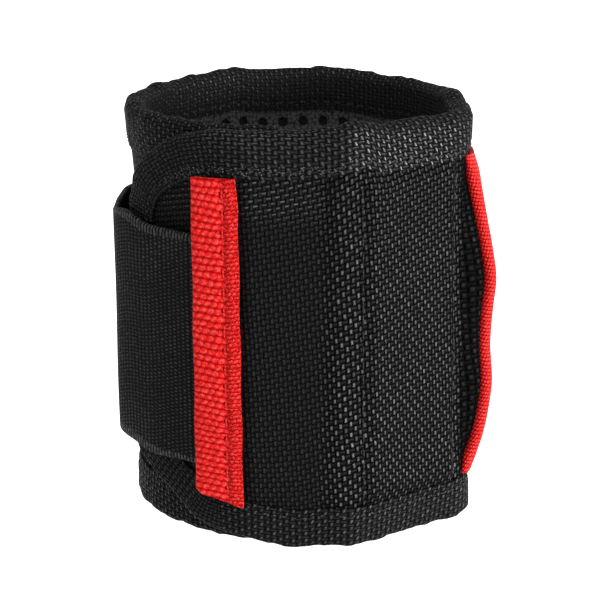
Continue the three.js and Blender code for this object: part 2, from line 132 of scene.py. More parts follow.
class PlanLine:  # straights and arcs, as (length, turn in degrees)
    def __init__(self, start, heading, runs, outSide=1):
        self.outSide = outSide
        self.lengths, turns = np.array(runs, float).T
        self.rates = np.radians(turns) / self.lengths
        self.marks = np.concatenate([[0], np.cumsum(self.lengths)[:-1]])
        self.headings = np.radians(heading) + np.concatenate([[0], np.cumsum(self.rates * self.lengths)[:-1]])
        self.points = np.array([start], float)
        for k, length in enumerate(self.lengths[:-1]):
            self.points = np.vstack([self.points, self.step(k, length) + self.points[k]])
        self.length = float(self.lengths.sum())

    def step(self, k, run):
        before, rate = self.headings[k], self.rates[k]
        after = before + rate * run
        bent = np.abs(rate) > 1e-9
        safe = np.where(bent, rate, 1)
        x = np.where(bent, (np.sin(after) - np.sin(before)) / safe, np.cos(before) * run)
        y = np.where(bent, (np.cos(before) - np.cos(after)) / safe, np.sin(before) * run)
        return columns(x, y)

    def offset(self, s, t):  # the point t outside the line
        s, t = together(s, t)
        k = np.clip(np.searchsorted(self.marks, s, side="right") - 1, 0, len(self.marks) - 1)
        run = s - self.marks[k]
        heading = self.headings[k] + self.rates[k] * run
        outward = columns(np.sin(heading), -np.cos(heading)) * self.outSide
        return self.points[k] + self.step(k, run) + outward * t[..., None]

    def end(self):
        return self.offset(self.length, 0)


def bend(radius, turn):
    return (radius * abs(math.radians(turn)), turn)


ring = {
    "height": 90,
    "shell": 0.6, "foam": 1.8, "lining": 0.6,  # layers, from the outside in
    "layGap": 0.2, "lapGap": 0.3,
    "leftPadFlat": 18.4, "rightPadFlat": 23.2, "padTurn": 37,
    "leftFold": 17, "middleFold": 8, "rightFold": 10, "leftFoldTurn": 40,  # fold radii, and one turn
    "lapRadius": 36, "lapTurn": 20, "lapFlat": 6, "leftWall": 34,
    "flapReach": 1, "innerEndRun": 19,
    "leftFoldOut": 0.4, "sideFoldOut": 2, "backFoldAt": 50,  # hinges, off the red strips and in degrees
    "frontCut": 5, "sideCut": 20, "backCutAt": 100,  # where one length of cloth ends and the next starts
}

tape = {
    "thick": 0.5, "width": 9.5, "roll": 2.0, "legShare": 0.86,  # share of the thickness that the legs keep
    "legs": [1.0, 0.985, 0.95, 0.9, 0.86, 0.82, 0.78, 0.7, 0.6, 0.5, 0.4, 0.32],  # stations over the width
    "seamIn": 1.7, "seamDip": 0.22, "seamWidth": 0.55,  # stitch row, in from the free edge
    "edgePress": 0.28, "edgeRun": 1.6,  # the free edge is pressed down
    "ripple": 0.09, "puckerZone": (2.0, 7.0),
    "puckers": [(3.4, 1, 0), (5.3, 0.6, 1.1)],  # length, share and phase of each wave
    "lumpHigh": 0.22, "lumpOut": 0.16, "lumpZone": (1.5, 6), "lumpEnds": 5,  # the rolled edge is uneven
    # the same for the lumps, and how many times the phases below shift each
    "lumps": [(6.7, 1, 0, 1), (4.3, 0.8, 0, 2), (10.9, 0.9, 1.3, -1), (2.9, 0.5, 0, -1)],
    "highPhase": 0.4, "outPhase": 1.9,  # so that lumps up and out don't fall together
    "liftFrom": 1.5,  # the tape climbs onto the panel from this far below its rolled edge
    "underneath": 0.04,  # least gap to the layers
    "outerStitch": (2.0, 1.1, 0.19), "innerStitch": (3.1, 2.4, 0.2),  # pitch, length, radius
    "stitchSink": 0.03,
}

height = ring["height"]
lay = ring["layGap"]
bandThick = ring["shell"] + ring["foam"] + ring["lining"] + 2 * lay
tapeOut = lay + tape["thick"]
lapShift = bandThick + 2 * tapeOut + ring["lapGap"]

frontRuns = [
    bend(ring["leftFold"], ring["leftFoldTurn"]),
    (ring["leftPadFlat"], 0),
    bend(ring["middleFold"], ring["padTurn"]),
    (ring["rightPadFlat"], 0),
    bend(ring["rightFold"], 90 - ring["padTurn"]),
]
wallRuns = [
    bend(ring["leftWall"], 90 - ring["leftFoldTurn"] - ring["lapTurn"]),
    bend(ring["lapRadius"], ring["lapTurn"]),
    (ring["lapFlat"], 0),
]


def closingRuns():  # the back radius and the side flat that bring the ring round to its start
    front = PlanLine((0, 0), -ring["leftFoldTurn"], frontRuns).end()
    left = PlanLine((0, 0), -90, wallRuns).end()
    side = math.radians(90 - ring["leftFoldTurn"])
    across, depth = front + left - lapShift * np.array([math.cos(side), math.sin(side)])
    return across / 2, -depth


backRadius, sideFlat = closingRuns()
flapTurn = math.degrees(ring["flapReach"] / (ring["leftWall"] + lapShift))
ringRuns = [
    bend(ring["leftWall"] + lapShift, flapTurn),
    bend(ring["lapRadius"] + lapShift, ring["lapTurn"]),
    (ring["lapFlat"], 0),
    *frontRuns,
    (sideFlat, 0),
    bend(backRadius, 180),
    *wallRuns,
    bend(ring["leftFold"] - lapShift, ring["leftFoldTurn"]),
    (ring["innerEndRun"], 0),
]
lapRun, leftPadRun, rightPadRun, sideRun, backRun = 2, 4, 6, 8, 9
band = PlanLine((0, 0), -ring["leftFoldTurn"] - ring["lapTurn"] - flapTurn, ringRuns)

# the CAD frame's origin is under the middle of the part: two faces of the frame give the shift
padFace = band.offset(band.marks[leftPadRun], 0)
sideFace = band.offset(band.marks[sideRun], 0)
shift = np.array([
    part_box("side_shell")[1].x / mm - sideFace[0],
    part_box("front_shell")[0].y / mm - padFace[1],
])

panel = {
    "thick": 0.6, "carrierWidth": 17.2, "rise": 1.7, "ramp": 1.6,
    "brow": 2.4,  # the cloth comes down to the bindings over this height
    "rowBefore": 0.6, "rowStep": 2.6, "rowShare": 0.5,  # middle row, and the rise of the cloth past it
    "rowStart": 1.5, "leftShare": 0.45, "blur": 0.3,
    "foldRadius": 10.5,  # fold of the panel before the middle row
    "tapeShare": 0.46, "tuckShare": 0.7,  # of the rise is left where the bindings come over
    "margin": 6,  # free edge between the right sewn row and the right strip
    "tuck": 1.5,  # under the bindings
    "rowDip": 0.2, "rowWidth": 0.7, "pucker": 0.09, "puckerPitch": 5.3, "puckerWidth": 3.2,
    "turnUp": 0.4, "turnFrom": 1.2, "turnCurve": 1.6,  # the margin turns up against the right strip
    "tapeGap": 0.05, "climb": (1, 0.5, 2),  # the bindings climb onto the panel over these lengths
    "soft": [(0.12, 9.1, 7.3, 0), (0.08, -5.3, 3.7, 0.6)],  # waves, as softWaves takes them
    "softIn": 4, "padCalm": 0.6,  # less near the bindings and over the carriers
    "stitch": (3.2, 2.6, 0.2), "rowIn": 0.5, "hem": 4,
}

webbing = {
    "width": 9.8, "roll": 1.0, "wall": 0.92, "legEnd": 0.16,
    "fold": 1.9,  # thickness at the fold
    "pinch": 0.4, "rowIn": 2.7, "rowWidth": 0.6, "rowEnds": (1.0, 0.6),  # the sewn row
    "wear": 0.3, "wearRun": (1.0, 4.0), "edgeWear": 0.25, "edgeRun": 1.6,  # thinner off the fold
    "foldWave": (0.1, 21), "freeWave": (0.08, 27),  # both edges waver
    "leftIn": 1.2, "leftLow": 10.1, "leftTop": 80.7,
    "slant": 1.8, "foldLow": 0.9, "foldLowRun": 0.16,  # the left strip's lower end is cut askew
    "leftSpread": 0.5, "topDraw": 0.45, "drawFrom": 0.9,  # it is wider at the bottom, drawn in at the top
    "rightFold": 3.0, "rightOut": 1.0, "rightBow": 2.4,  # thick soft fold, furthest out at its ends
    "rightLow": 0.5, "rightTop": 0.4, "rightGrain": 1.8,
    "tilt": 0.75,  # its free edge is sewn down
    # how far its fold's outer face stands off the band, from the bottom up
    "outerFace": [(9.7, 1.6), (13.5, 3.1), (18.8, 5.1), (24, 6.3), (29.5, 7.0), (39, 6.5), (47.5, 7.1),
                  (53, 7.7), (60, 6.8), (73, 4.0), (77.5, 2.8), (80.6, 1.6)],
    "stitch": (4.1, 3.4, 0.2), "stitchSink": 0.06,
}

strap = {
    "thick": 1.3, "width": 50, "drop": 2.5, "anchor": 6, "turnRadius": 11, "edge": 0.6,
    "foldAt": 150, "endAt": 100, "foldReach": 6, "cutBefore": 14,
    "lift": 1.1, "climbs": [(1.7, 11, 20), (-0.9, 22, 29), (-0.5, 30, 60)],  # rise, from and to along it
    "sinks": (-1.5, 4.0),  # down to the band at its sewn end
    "sag": (0.7, 18, 7),  # depth, place and width of the sag in its lower edge
    "soft": [(0.1, 4.1, 17, 0), (0.07, -9, 6.3, 0)], "edgeSoft": [(0.22, 3.9, 1, 0), (0.15, 2.3, 1, 1)],
    "hookThick": 0.7, "hookPile": 0.35, "hookGap": 0.05, "hookInset": 3,
    "loopThick": 0.7, "loopFrom": 94, "loopTo": 184, "loopMargin": 2, "loopSink": 0.3,
}


def onBack(degrees):
    return band.marks[backRun] + backRadius * math.radians(degrees)


# places along the band
leftPad = band.marks[leftPadRun] + ring["leftPadFlat"] / 2
rightPad = band.marks[rightPadRun] + ring["rightPadFlat"] - ring["leftPadFlat"] / 2
padHalf = panel["carrierWidth"] / 2 + lay
leftSewn = leftPad - padHalf - panel["ramp"]
rightSewn = rightPad + padHalf + panel["ramp"]
middleSewn = band.marks[rightPadRun] - panel["rowBefore"]
leftStrip = (leftSewn - lay - webbing["width"], leftSewn - lay)
leftFold = leftStrip[0] - ring["leftFoldOut"]
panelFrom = leftStrip[0] + strap["anchor"] + lay
rightStrip = (rightSewn + panel["margin"], rightSewn + panel["margin"] + webbing["width"])
panelTo = rightStrip[0] - webbing["rightOut"] - lay
sideFold = rightStrip[1] + ring["sideFoldOut"]
backFold = onBack(ring["backFoldAt"])
frontFrom = leftStrip[0] + ring["frontCut"]
sideFrom = sideFold + ring["sideCut"]
backFrom = onBack(ring["backCutAt"])
trimLow = tape["width"] + lay
trimTop = height - trimLow
strapLow = (height - strap["width"]) / 2 - strap["drop"]
strapTop = strapLow + strap["width"]

# the cloth is cut into four lengths, each of which crosses one joint at most
lengths = {
    "outer_end": (0, frontFrom),
    "front": (frontFrom, sideFrom),
    "side": (sideFrom, backFrom),
    "back": (backFrom, band.length),
}

rimShape = {
    # place along the band, width and rise of each wave in the top rim
    "top": [(57, 5, 1.5), (62, 3, -0.5), (39, 5, -0.3), (175, 5, 1.0), (152, 9, 0.5), (136, 7, -0.5),
            (121, 8, -0.5), (105, 5, 0.9), (185, 6, 0.5), (199, 3, 0.6), (206, 3, 0.3), (215, 5, 0.7)],
    # height of the bottom rim above the floor
    "foot": [(0, 3.4), (20, 3.4), (27, 3.6), (30, 3.0), (33, 2.2), (36.5, 1.2), (40, 0.5), (43.5, 0),
             (48.5, 0.6), (53.5, 0.15), (59, 0), (66, 0), (72.5, 0.15), (80, 0), (87, 0), (96, 0.2),
             (112, 0.3), (140, 0.6), (165, 0.2), (190, 0.6), (230, 0.4), (300, 0.4)],
    # place, width and reach of the stretches where a rim leans out
    "topLean": [(90, 13, 1.3), (225, 22, 1.5), (-6.6, 22, 1.5)],
    "footLean": [(90, 11, 1.2), (225, 22, 0.9), (-6.6, 22, 0.9)],
    "middle": 0.5, "topZone": (0.72, 1.02), "footZone": 0.28,  # shares of the height
}


def footRise(s, z):
    return throughPoints(s, rimShape["foot"]) * (1 - ease(z, 0, rimShape["middle"] * height))


def onBand(s, t, z):  # a point of the band in the CAD frame: s along it, t outside its shell, z up
    s, t, z = together(s, t, z)

    def waves(key):
        return sum(rise * hump(s, place, width) for place, width, rise in rimShape[key])

    leanFrom, leanTo = rimShape["topZone"]
    lean = waves("topLean") * ease(z, leanFrom * height, leanTo * height)
    lean = lean + waves("footLean") * (1 - ease(z, 0, rimShape["footZone"] * height))
    plan = band.offset(s, t + lean) + shift
    lifted = z + waves("top") * ease(z, rimShape["middle"] * height, height) + footRise(s, z)
    return np.concatenate([plan, np.maximum(lifted, 0)[..., None]], -1)  # the rim rests on the floor


# meshes

edgeSteps = np.array([0, 0.2, 0.55])  # stations over a rounded edge, as shares of its reach


def newPiece(name, points, faces, uv, material):
    mesh = bpy.data.meshes.new(name)
    flat = np.asarray(points, float).reshape(-1, 3)
    a, b, c, d = (flat[faces[:, k]] for k in range(4))
    volume = (np.einsum("ij,ij->i", a, np.cross(b, c)) + np.einsum("ij,ij->i", a, np.cross(c, d))).sum()
    if volume < 0:  # faces look outward
        faces = faces[:, ::-1]
    mesh.from_pydata((flat * mm).tolist(), [], faces.tolist())
    layer = mesh.uv_layers.new(name=clothMap)
    layer.uv.foreach_set("vector", uv.reshape(-1, 2)[faces].astype(np.float32).ravel())
    mesh.shade_smooth()
    mesh.set_sharp_from_angle(angle=math.radians(48))
    mesh.materials.append(material)
    piece = bpy.data.objects.new(name, mesh)
    bpy.context.scene.collection.objects.link(piece)
    return piece


def tubeFaces(n, m):  # quads between n rings of m points; a cap's corners pair up across the ring
    i, j = (x.ravel() for x in np.meshgrid(np.arange(n - 1), np.arange(m), indexing="ij"))
    over = (j + 1) % m
    sides = columns(i * m + j, (i + 1) * m + j, (i + 1) * m + over, i * m + over)
    k = np.arange(m // 2 - 1)
    first = columns(k, k + 1, m - 2 - k, m - 1 - k)
    return np.concatenate([sides, first, (n - 1) * m + first[:, ::-1]])


def loft(name, rings, uv, material):  # rings (n, m, 3), each closed
    return newPiece(name, rings, tubeFaces(*rings.shape[:2]), uv, material)


def rounded(distance, reach):  # share of the full thickness near an edge
    inside = np.clip(1 - np.asarray(distance, float) / reach, 0, 1)
    return np.maximum(np.sqrt(1 - inside**2), 0.3)


def clothSheet(name, material, place, s, low, high, inner, outer, step, edge, endEdge=0.0):
    s = np.asarray(s, float)[:, None]
    low, high = (np.broadcast_to(np.asarray(x, float).reshape(-1, 1), s.shape) for x in (low, high))
    count = max(3, int(round(float((high - low).max()) / step)))
    near = edge * edgeSteps
    between = low + edge + np.linspace(0, 1, count) * (high - low - 2 * edge)
    z = np.concatenate([low + near, between, high - near[::-1]], 1)
    tIn, tOut = faceAt(inner, s, z), faceAt(outer, s, z)
    share = rounded(np.minimum(z - low, high - z), edge)
    if endEdge:
        share = share * rounded(np.minimum(s - s[0], s[-1] - s), endEdge)
    middle, half = (tIn + tOut) / 2, (tOut - tIn) / 2 * share
    zs, ts = thereAndBack(z, z), thereAndBack(middle + half, middle - half)
    return loft(name, place(s, ts, zs), columns(s, zs), material)


def withEnds(start, end, step=0.9, edge=0.4):  # stations that crowd at both ends, for rounded ends
    near = edge * edgeSteps
    return np.concatenate([start + near, along(start + edge, end - edge, step), end - near[::-1]])


def flatArea(s, z, faces):  # area of a flat cut, in square metres
    across = (s[faces[:, 2]] - s[faces[:, 0]]) * (z[faces[:, 3]] - z[faces[:, 1]])
    up = (s[faces[:, 3]] - s[faces[:, 1]]) * (z[faces[:, 2]] - z[faces[:, 0]])
    return float(np.abs(across - up).sum() / 2) * mm * mm


def thickPatch(name, material, s, z, faces, top, under):  # a flat patch of quads, made thick along t
    count = len(s)
    points = np.concatenate([onBand(s, top, z), onBand(s, under, z)])
    edges = np.concatenate([faces[:, [k, (k + 1) % 4]] for k in range(4)])
    index, uses = np.unique(np.sort(edges, 1), axis=0, return_inverse=True, return_counts=True)[1:]
    rim = edges[uses[index.ravel()] == 1]
    walls = np.concatenate([rim[:, ::-1], rim + count], 1)
    allFaces = np.concatenate([faces, faces[:, ::-1] + count, walls])
    return newPiece(name, points, allFaces, np.tile(columns(s, z), (2, 1)), material)


def threadRow(name, material, place, route, t, stitch):  # route of (s, z) points on the cloth
    pitch, length, radius = stitch
    route = np.asarray(route, float)
    run = runAlong(*route.T)
    count = int(run[-1] / pitch)
    rings, sides = 7, 8
    q = np.linspace(-1, 1, rings)
    where = pitch * (np.arange(count) + 0.5)[:, None] + q * length / 2
    s, z = np.interp(where, run, route[:, 0]), np.interp(where, run, route[:, 1])
    ahead = columns(np.gradient(s, axis=1), np.gradient(z, axis=1))
    ahead /= np.linalg.norm(ahead, axis=-1, keepdims=True)
    angle = np.arange(sides) * 2 * math.pi / sides
    slim = radius * np.sqrt(np.maximum(0.08, 1 - 0.92 * q**2))  # a stitch is thickest in its middle
    arch = radius * (0.75 - 1.7 * q**4)  # and goes into the cloth at its ends
    ringS = s[..., None] - ahead[..., 1, None] * slim[:, None] * np.cos(angle)
    ringZ = z[..., None] + ahead[..., 0, None] * slim[:, None] * np.cos(angle)
    ringT = faceAt(t, s, z)[..., None] + (arch[:, None] + slim[:, None] * np.sin(angle))
    faces = tubeFaces(rings, sides) + rings * sides * np.arange(count)[:, None, None]
    uv = columns(where[..., None], angle * radius)
    return newPiece(name, place(ringS, ringT, ringZ), faces.reshape(-1, 4), uv, material)


# shader maths

class Dye:  # a socket in a material's nodes
    def __init__(self, tree, socket=None):
        self.tree, self.socket = tree, socket

    def node(self, kind, settings=None, values=None, output=0):
        made = self.tree.nodes.new("ShaderNode" + kind)
        for key, value in (settings or {}).items():
            setattr(made, key, value)
        for key, value in (values or {}).items():
            if isinstance(value, Dye):
                self.tree.links.new(value.socket, made.inputs[key])
            else:
                made.inputs[key].default_value = value
        return Dye(self.tree, made.outputs[output] if made.outputs else None)

    def maths(self, operation, *others):
        return self.node("Math", {"operation": operation}, dict(enumerate((self, *others))))

    def __rsub__(self, other):
        return self.node("Math", {"operation": "SUBTRACT"}, {0: other, 1: self})

    __add__ = __radd__ = partialmethod(maths, "ADD")
    __mul__ = __rmul__ = partialmethod(maths, "MULTIPLY")
    __sub__ = partialmethod(maths, "SUBTRACT")
    __truediv__ = partialmethod(maths, "DIVIDE")
    __pow__ = partialmethod(maths, "POWER")
    part = partialmethod(maths, "FRACT")
    whole = partialmethod(maths, "FLOOR")
    odd = partialmethod(maths, "FLOORED_MODULO", 2)
    most = partialmethod(maths, "MAXIMUM")
    size = partialmethod(maths, "ABSOLUTE")
    wave = partialmethod(maths, "SINE")

    def centred(self):  # from -1 to 1 over each unit
        return self.part() * 2 - 1

    def within(self, start, end):
        settings = {"interpolation_type": "SMOOTHSTEP"}
        return self.node("MapRange", settings, {"Value": self, "From Min": start, "From Max": end})

    def blend(self, first, second):
        settings = {"data_type": "RGBA", "clamp_factor": True}
        return self.node("Mix", settings, {0: self, 6: first, 7: second}, 2)


def startMaterial(name):
    material = bpy.data.materials.new(name)
    material.use_nodes = True
    tree = material.node_tree
    tree.nodes.clear()
    return material, Dye(tree)


def startCloth(name):  # with the cloth's own millimetres, along and across
    material, dye = startMaterial(name)
    uv = dye.node("UVMap", {"uv_map": clothMap})
    return material, uv, *(uv.node("SeparateXYZ", None, {0: uv}, axis) for axis in (0, 1))


def finishMaterial(dye, colour, roughness, relief=None, depth=0.1, coat=None, fixed=None):
    values = {"Base Color": colour, "Roughness": roughness, **(fixed or {})}
    if relief is not None:
        values["Normal"] = dye.node("Bump", None, {"Height": relief, "Distance": depth * mm})
    if coat is not None:
        values["Coat Weight"] = coat
    shader = dye.node("BsdfPrincipled", None, values)
    dye.node("OutputMaterial", None, {"Surface": shader})


def unevenness(uv, scale, detail=2.0):
    return uv.node("TexNoise", {"noise_dimensions": "2D"}, {"Vector": uv, "Scale": scale, "Detail": detail})


def stray(uv, scale, reach):
    return (unevenness(uv, scale) - 0.5) * reach


def cells(uv, scale, **values):
    settings = {"voronoi_dimensions": "2D", "feature": "F1"}
    return uv.node("TexVoronoi", settings, {"Vector": uv, "Scale": scale, **values})


weaveLook = {
    "pitchAlong": 0.91, "pitchUp": 1.17,  # spacing of upright and level yarns, swapped on a tape
    "skew": 0.19, "tilt": 0.045,  # level and upright yarns run off the grain
    "wander": 0.5, "jitter": 0.16,  # how far a yarn strays, in yarns, over a stretch and from knot to knot
    # dark is the painted shade in the gaps and on the shaded side of each yarn; ridge is the colour of the
    # painted highlight dashes
    "dark": (0.0003, 0.0003, 0.0004, 1), "yarn": (0.0053, 0.0053, 0.0054, 1),
    "ridge": (0.008, 0.008, 0.0082, 1), "rough": 0.62, "depth": 0.5,
    "standing": 0.45, "lying": 0.07,  # shine of upright and of level yarns, painted into the colour as well as set in the coat
    "shine": 1.7, "fade": 0.0158,  # the uprights' painted highlight and coat are strongest at the bottom, and less with height
    "leftHighlightShare": 0.22, "litFaceFrom": 48.5, "blur": 2, "leftBodyLift": 0.28, "lint": 0.0,  # painted light: left of the turn, on the face away from the key light, the highlights are dimmer and the yarn bodies paler
    "topGlint": 0.85, "topGlintFrom": 73, "topGlintBlur": 3,  # painted highlight on level yarns near the top, where they face the light from above, less on the outer end
    "flap": (22, 26), "flapShare": 0.3,  # less on the outer end
    "thin": (0.62, 0.18), "short": (0.22, 0.75), "lean": 0,  # sides, ends and slant of an upright's painted highlight dash
    "levelThin": (0.4, 0.1), "levelShort": (0.0, 0.35),  # sides and ends of a level yarn's
    "foldLit": 0.4, "foldSpan": (7, 4),  # painted highlight, brighter on the fold between the pads
    "flapShade": 0, "flapFade": (34, 12),  # painted shade: a tape's highlights are dimmer on the outer end
    "inside": 0, "insideFrom": (12, 14),  # and painted paler on its inner face, which lies in the ring's shade
    "crease": (82, 84, 89, 87.5), "creaseShade": 0.85,  # painted shade where the panel turns up against the right strip
}


def wovenCloth(name, look, turned=False):
    material, uv, u, v = startCloth(name)
    first, second = ("pitchUp", "pitchAlong") if turned else ("pitchAlong", "pitchUp")
    knots = unevenness(uv, 0.9, 1.0) - 0.5
    a = (u + v * look["tilt"]) / look[first] + stray(uv, 0.06, look["wander"]) + knots * look["jitter"]
    b = (v - u * look["skew"]) / look[second]
    b = b + stray(uv, 0.085, look["wander"]) - knots * look["jitter"]
    upright = (a.whole() + b.whole()).odd()  # 1 where the upright yarn is on top
    sideA, sideB = a.centred(), b.centred()
    acrossA, acrossB = 1 - sideA ** 2, 1 - sideB ** 2
    standing = acrossA ** 0.7 * (acrossB ** 0.5 * 0.5 + 0.5)
    lying = acrossB ** 0.7 * (acrossA ** 0.5 * 0.12 + 0.5)
    top = lying + upright * (standing - lying)
    fleck = unevenness(uv, 0.75, 3.0).within(0.3, 0.72)
    # past is the face right of the turn, which the key light reaches; left of it the light is painted softer
    litFaceFrom, blur = look["litFaceFrom"], look["blur"]
    past = u.within(litFaceFrom - blur, litFaceFrom + blur)
    # painted shade in the crease where the panel turns up against the right strip
    creaseIn, creaseFull, creaseOut, creaseLast = look["crease"]
    clear = 1 - u.within(creaseIn, creaseFull) * u.within(creaseOut, creaseLast) * look["creaseShade"]
    # painted highlight on the level yarns near the top, left of the turn
    topGlintFrom, topGlintBlur = look["topGlintFrom"], look["topGlintBlur"]
    topGlint = (1 - past) * v.within(topGlintFrom - topGlintBlur, topGlintFrom + topGlintBlur) * look["topGlint"]
    topGlint = topGlint * (look["flapShare"] + (1 - look["flapShare"]) * u.within(*look["flap"]))
    # painted highlight dashes on the upright yarns, which also set the coat
    up = upright * (sideA - 0.2 + sideB * look["lean"]).size().within(*look["thin"])
    up = up * acrossB.within(*look["short"])
    foldFrom, foldFull = look["foldSpan"]
    fold = past * u.within(litFaceFrom + foldFrom, litFaceFrom + foldFull) * look["foldLit"]
    up = up * (look["shine"] - v * look["fade"]) * look["standing"]
    up = up * (look["leftHighlightShare"] + past * (1 - look["leftHighlightShare"]) + fold)
    up = up * (1 - look["flapShade"] * u.within(*look["flapFade"]))
    # painted highlight dashes on the level yarns
    level = (1 - upright) * (sideB - 0.25).size().within(*look["levelThin"])
    level = level * acrossA.within(*look["levelShort"]) * (topGlint + look["lying"])
    # ridge is the painted highlight, varied at random; it also sets the coat weight and a lower roughness
    ridge = (up + level) * (fleck * 0.75 + 0.25) * clear
    if "specks" in look:  # painted glints where the needle's holes run along the seam
        seamIn, seamFull, seamOut, seamLast = look["seam"]
        seam = v.within(seamIn, seamFull) * v.within(seamOut, seamLast)
        spots = cells(uv, look["speckScale"]).within(*look["speckSize"])
        spots = spots * seam * (look["specks"] - past * look["speckFall"])
        ridge = ridge.most(spots * u.within(*look["specksFrom"]))
    # painted shade on the left side of each upright yarn and the lower side of each level yarn
    shade = sideA.within(-0.8, 0.1)
    shade = shade + (1 - upright) * (sideB.within(-1.0, -0.2) - shade)
    # yarn bodies: painted shade in the gaps between yarns, lifted left of the turn and darkened in the crease
    body = (top.within(0.3, 1.0) * shade + (1 - past) * look["leftBodyLift"] + look["lint"]) * clear
    # painted light on the inner face of a tape, which lies in shade
    body = body + v.within(*look["insideFrom"]) * look["inside"]
    colour = ridge.blend(body.blend(look["dark"], look["yarn"]), look["ridge"])
    fixed = {"Specular IOR Level": 0.015, "Coat Roughness": 0.5, "Coat IOR": 1.7}
    finishMaterial(uv, colour, look["rough"] - ridge * 0.2, top, look["depth"], ridge, fixed)
    return material


tapeLook = {
    **weaveLook, "pitchAlong": 0.85, "pitchUp": 1.33, "skew": 0, "tilt": 0, "wander": 0.7,
    "yarn": (0.0075, 0.0075, 0.0077, 1), "ridge": (0.03, 0.03, 0.0306, 1),
    "standing": 0.36, "lying": 0.12, "fade": 0.004, "leftHighlightShare": 0.66, "blur": 14, "leftBodyLift": 0.06, "lint": 0.26,
    "topGlint": 0.5, "topGlintFrom": 7, "creaseShade": 0,
    "specks": 0.8, "specksFrom": (4, 24), "speckScale": 1.05, "speckSize": (0.22, 0.08), "speckFall": 0.65,
    "seam": (0.5, 0.9, 2.9, 2.5),
    "thin": (0.34, 0.06), "short": (0.1, 0.5), "lean": 0.3, "foldLit": 0, "flapShade": 0.5, "inside": 0.6,
}
lowLook = {**tapeLook, "standing": 0.34, "leftHighlightShare": 0.85, "topGlint": 0, "lint": 0.2, "specks": 0}  # bottom bindings: the same tape without the painted glints on the roll and the seam, and with a darker body

redLook = {
    "pitchAcross": 1.27, "pitchUp": 1.48, "lean": -0.13, "slope": 0.35,
    "edge": 2.3, "edgePitch": 0.9, "edgeLean": 0.15, "edgeDim": 0.32,  # finer floats past the sewn row
    "row": 2.7, "holes": 4.1, "hole": (0.03, 0.0004, 0.0004, 1),  # needle holes along the sewn row
    # deep is painted shade between the floats, and bright a painted highlight on their tops
    "deep": (0.2, 0.0006, 0.0007, 1), "red": (0.37, 0.005, 0.0045, 1), "bright": (0.5, 0.055, 0.05, 1),
    "depth": 0.42,
}


def yarnFloat(a, b):
    side, up = (a + b.whole() * 0.5).centred(), b.centred()
    return (1 - (side * side * 0.56 + up * up * 0.94) ** 1.3).most(0.0) ** 0.6


def beadedWebbing(name, look):  # rows of slanted yarn floats, each row set half over
    material, uv, u, v = startCloth(name)
    fibre = unevenness(uv, 1.6, 4.0)
    b = (v + u * look["lean"]) / look["pitchUp"] + stray(uv, 0.2, 0.5) + (fibre - 0.5) * 0.25
    a = u / look["pitchAcross"] + stray(uv, 0.3, 0.6)
    a = a + b.centred() * (look["slope"] / 2) + (fibre - 0.5) * 0.3
    bead = yarnFloat(a, b)
    loose = (fibre - 0.5) * 1.3
    pitch = look["edgePitch"]
    fine = yarnFloat(u / pitch + loose, (v + u * look["edgeLean"]) / pitch - loose)
    plain = u.within(look["edge"] - 0.3, look["edge"] + 0.3)
    top = bead + (1 - plain) * (fine - bead)
    hole = (u - look["row"]).size().within(0.5, 0.2) * (v / look["holes"]).centred().size().within(0.8, 0.9)
    top = top * (1 - hole)
    # painted shade between the floats, and painted highlights on their tops
    body = top.within(0.0, 0.62).blend(look["deep"], look["red"])
    colour = (top.within(0.6, 1.0) * fibre.within(0.4, 0.64) * 0.7).blend(body, look["bright"])
    colour = ((1 - plain) * look["edgeDim"]).blend(colour, look["deep"])
    colour = (hole * 0.8).blend(colour, look["hole"])
    finishMaterial(uv, colour, 0.62 - top * 0.14, top, look["depth"], None, {"Specular IOR Level": 0.03})
    return material


elasticLook = {
    "rib": 1.2, "cross": 0.8, "rim": 1.8, "rimRib": 0.87,  # the edges are closed with a corded rim
    # the lighter colour is a painted highlight on the rib tops
    "dark": (0.0025, 0.0025, 0.0025, 1), "ribHighlight": (0.03, 0.03, 0.0304, 1), "depth": 0.42,
}


def ribbedElastic(name, look, low, high):
    material, uv, u, v = startCloth(name)
    fibre = unevenness(uv, 1.3, 3.0)
    patches = unevenness(uv, 0.09).within(0.35, 0.7)
    a = u / look["rib"] + stray(uv, 0.2, 0.3) + (fibre - 0.5) * 0.3
    b = v / look["cross"] + stray(uv, 0.3, 0.6) + (fibre - 0.5) * 0.5
    rib = 1 - a.centred() ** 2
    knot = 1 - (b + a.whole() * 0.5).centred() ** 2
    cords = 1 - (u / look["rimRib"] + (fibre - 0.5) * 0.3).centred() ** 2
    rimFrom = (high - low) / 2 - look["rim"]
    edge = (v - (low + high) / 2).size().within(rimFrom, rimFrom + 0.4)
    ground = rib ** 0.7 * (patches * 0.25 + 0.33) + knot * (0.48 - patches * 0.2)
    top = ground + edge * (cords * 1.3 - ground)
    # painted highlight on the rib tops, with a thin coat on them as well
    lit = top.within(0.6, 1.0) * (fibre.within(0.3, 0.7) * 0.8 + 0.2)
    colour = lit.blend(look["dark"], look["ribHighlight"])
    fixed = {"Specular IOR Level": 0.03, "Coat Roughness": 0.45}
    finishMaterial(uv, colour, 0.8 - top * 0.1, top, look["depth"], lit * 0.3, fixed)
    return material


knitLook = {"loop": 0.9, "dark": (0.0016, 0.0016, 0.0018, 1), "lit": (0.055, 0.055, 0.056, 1), "depth": 0.25}
foamLook = {**knitLook, "loop": 0.5, "lit": (0.012, 0.012, 0.012, 1)}
pileLook = {**knitLook, "loop": 0.7, "depth": 0.5, "lit": (0.013, 0.013, 0.0135, 1)}


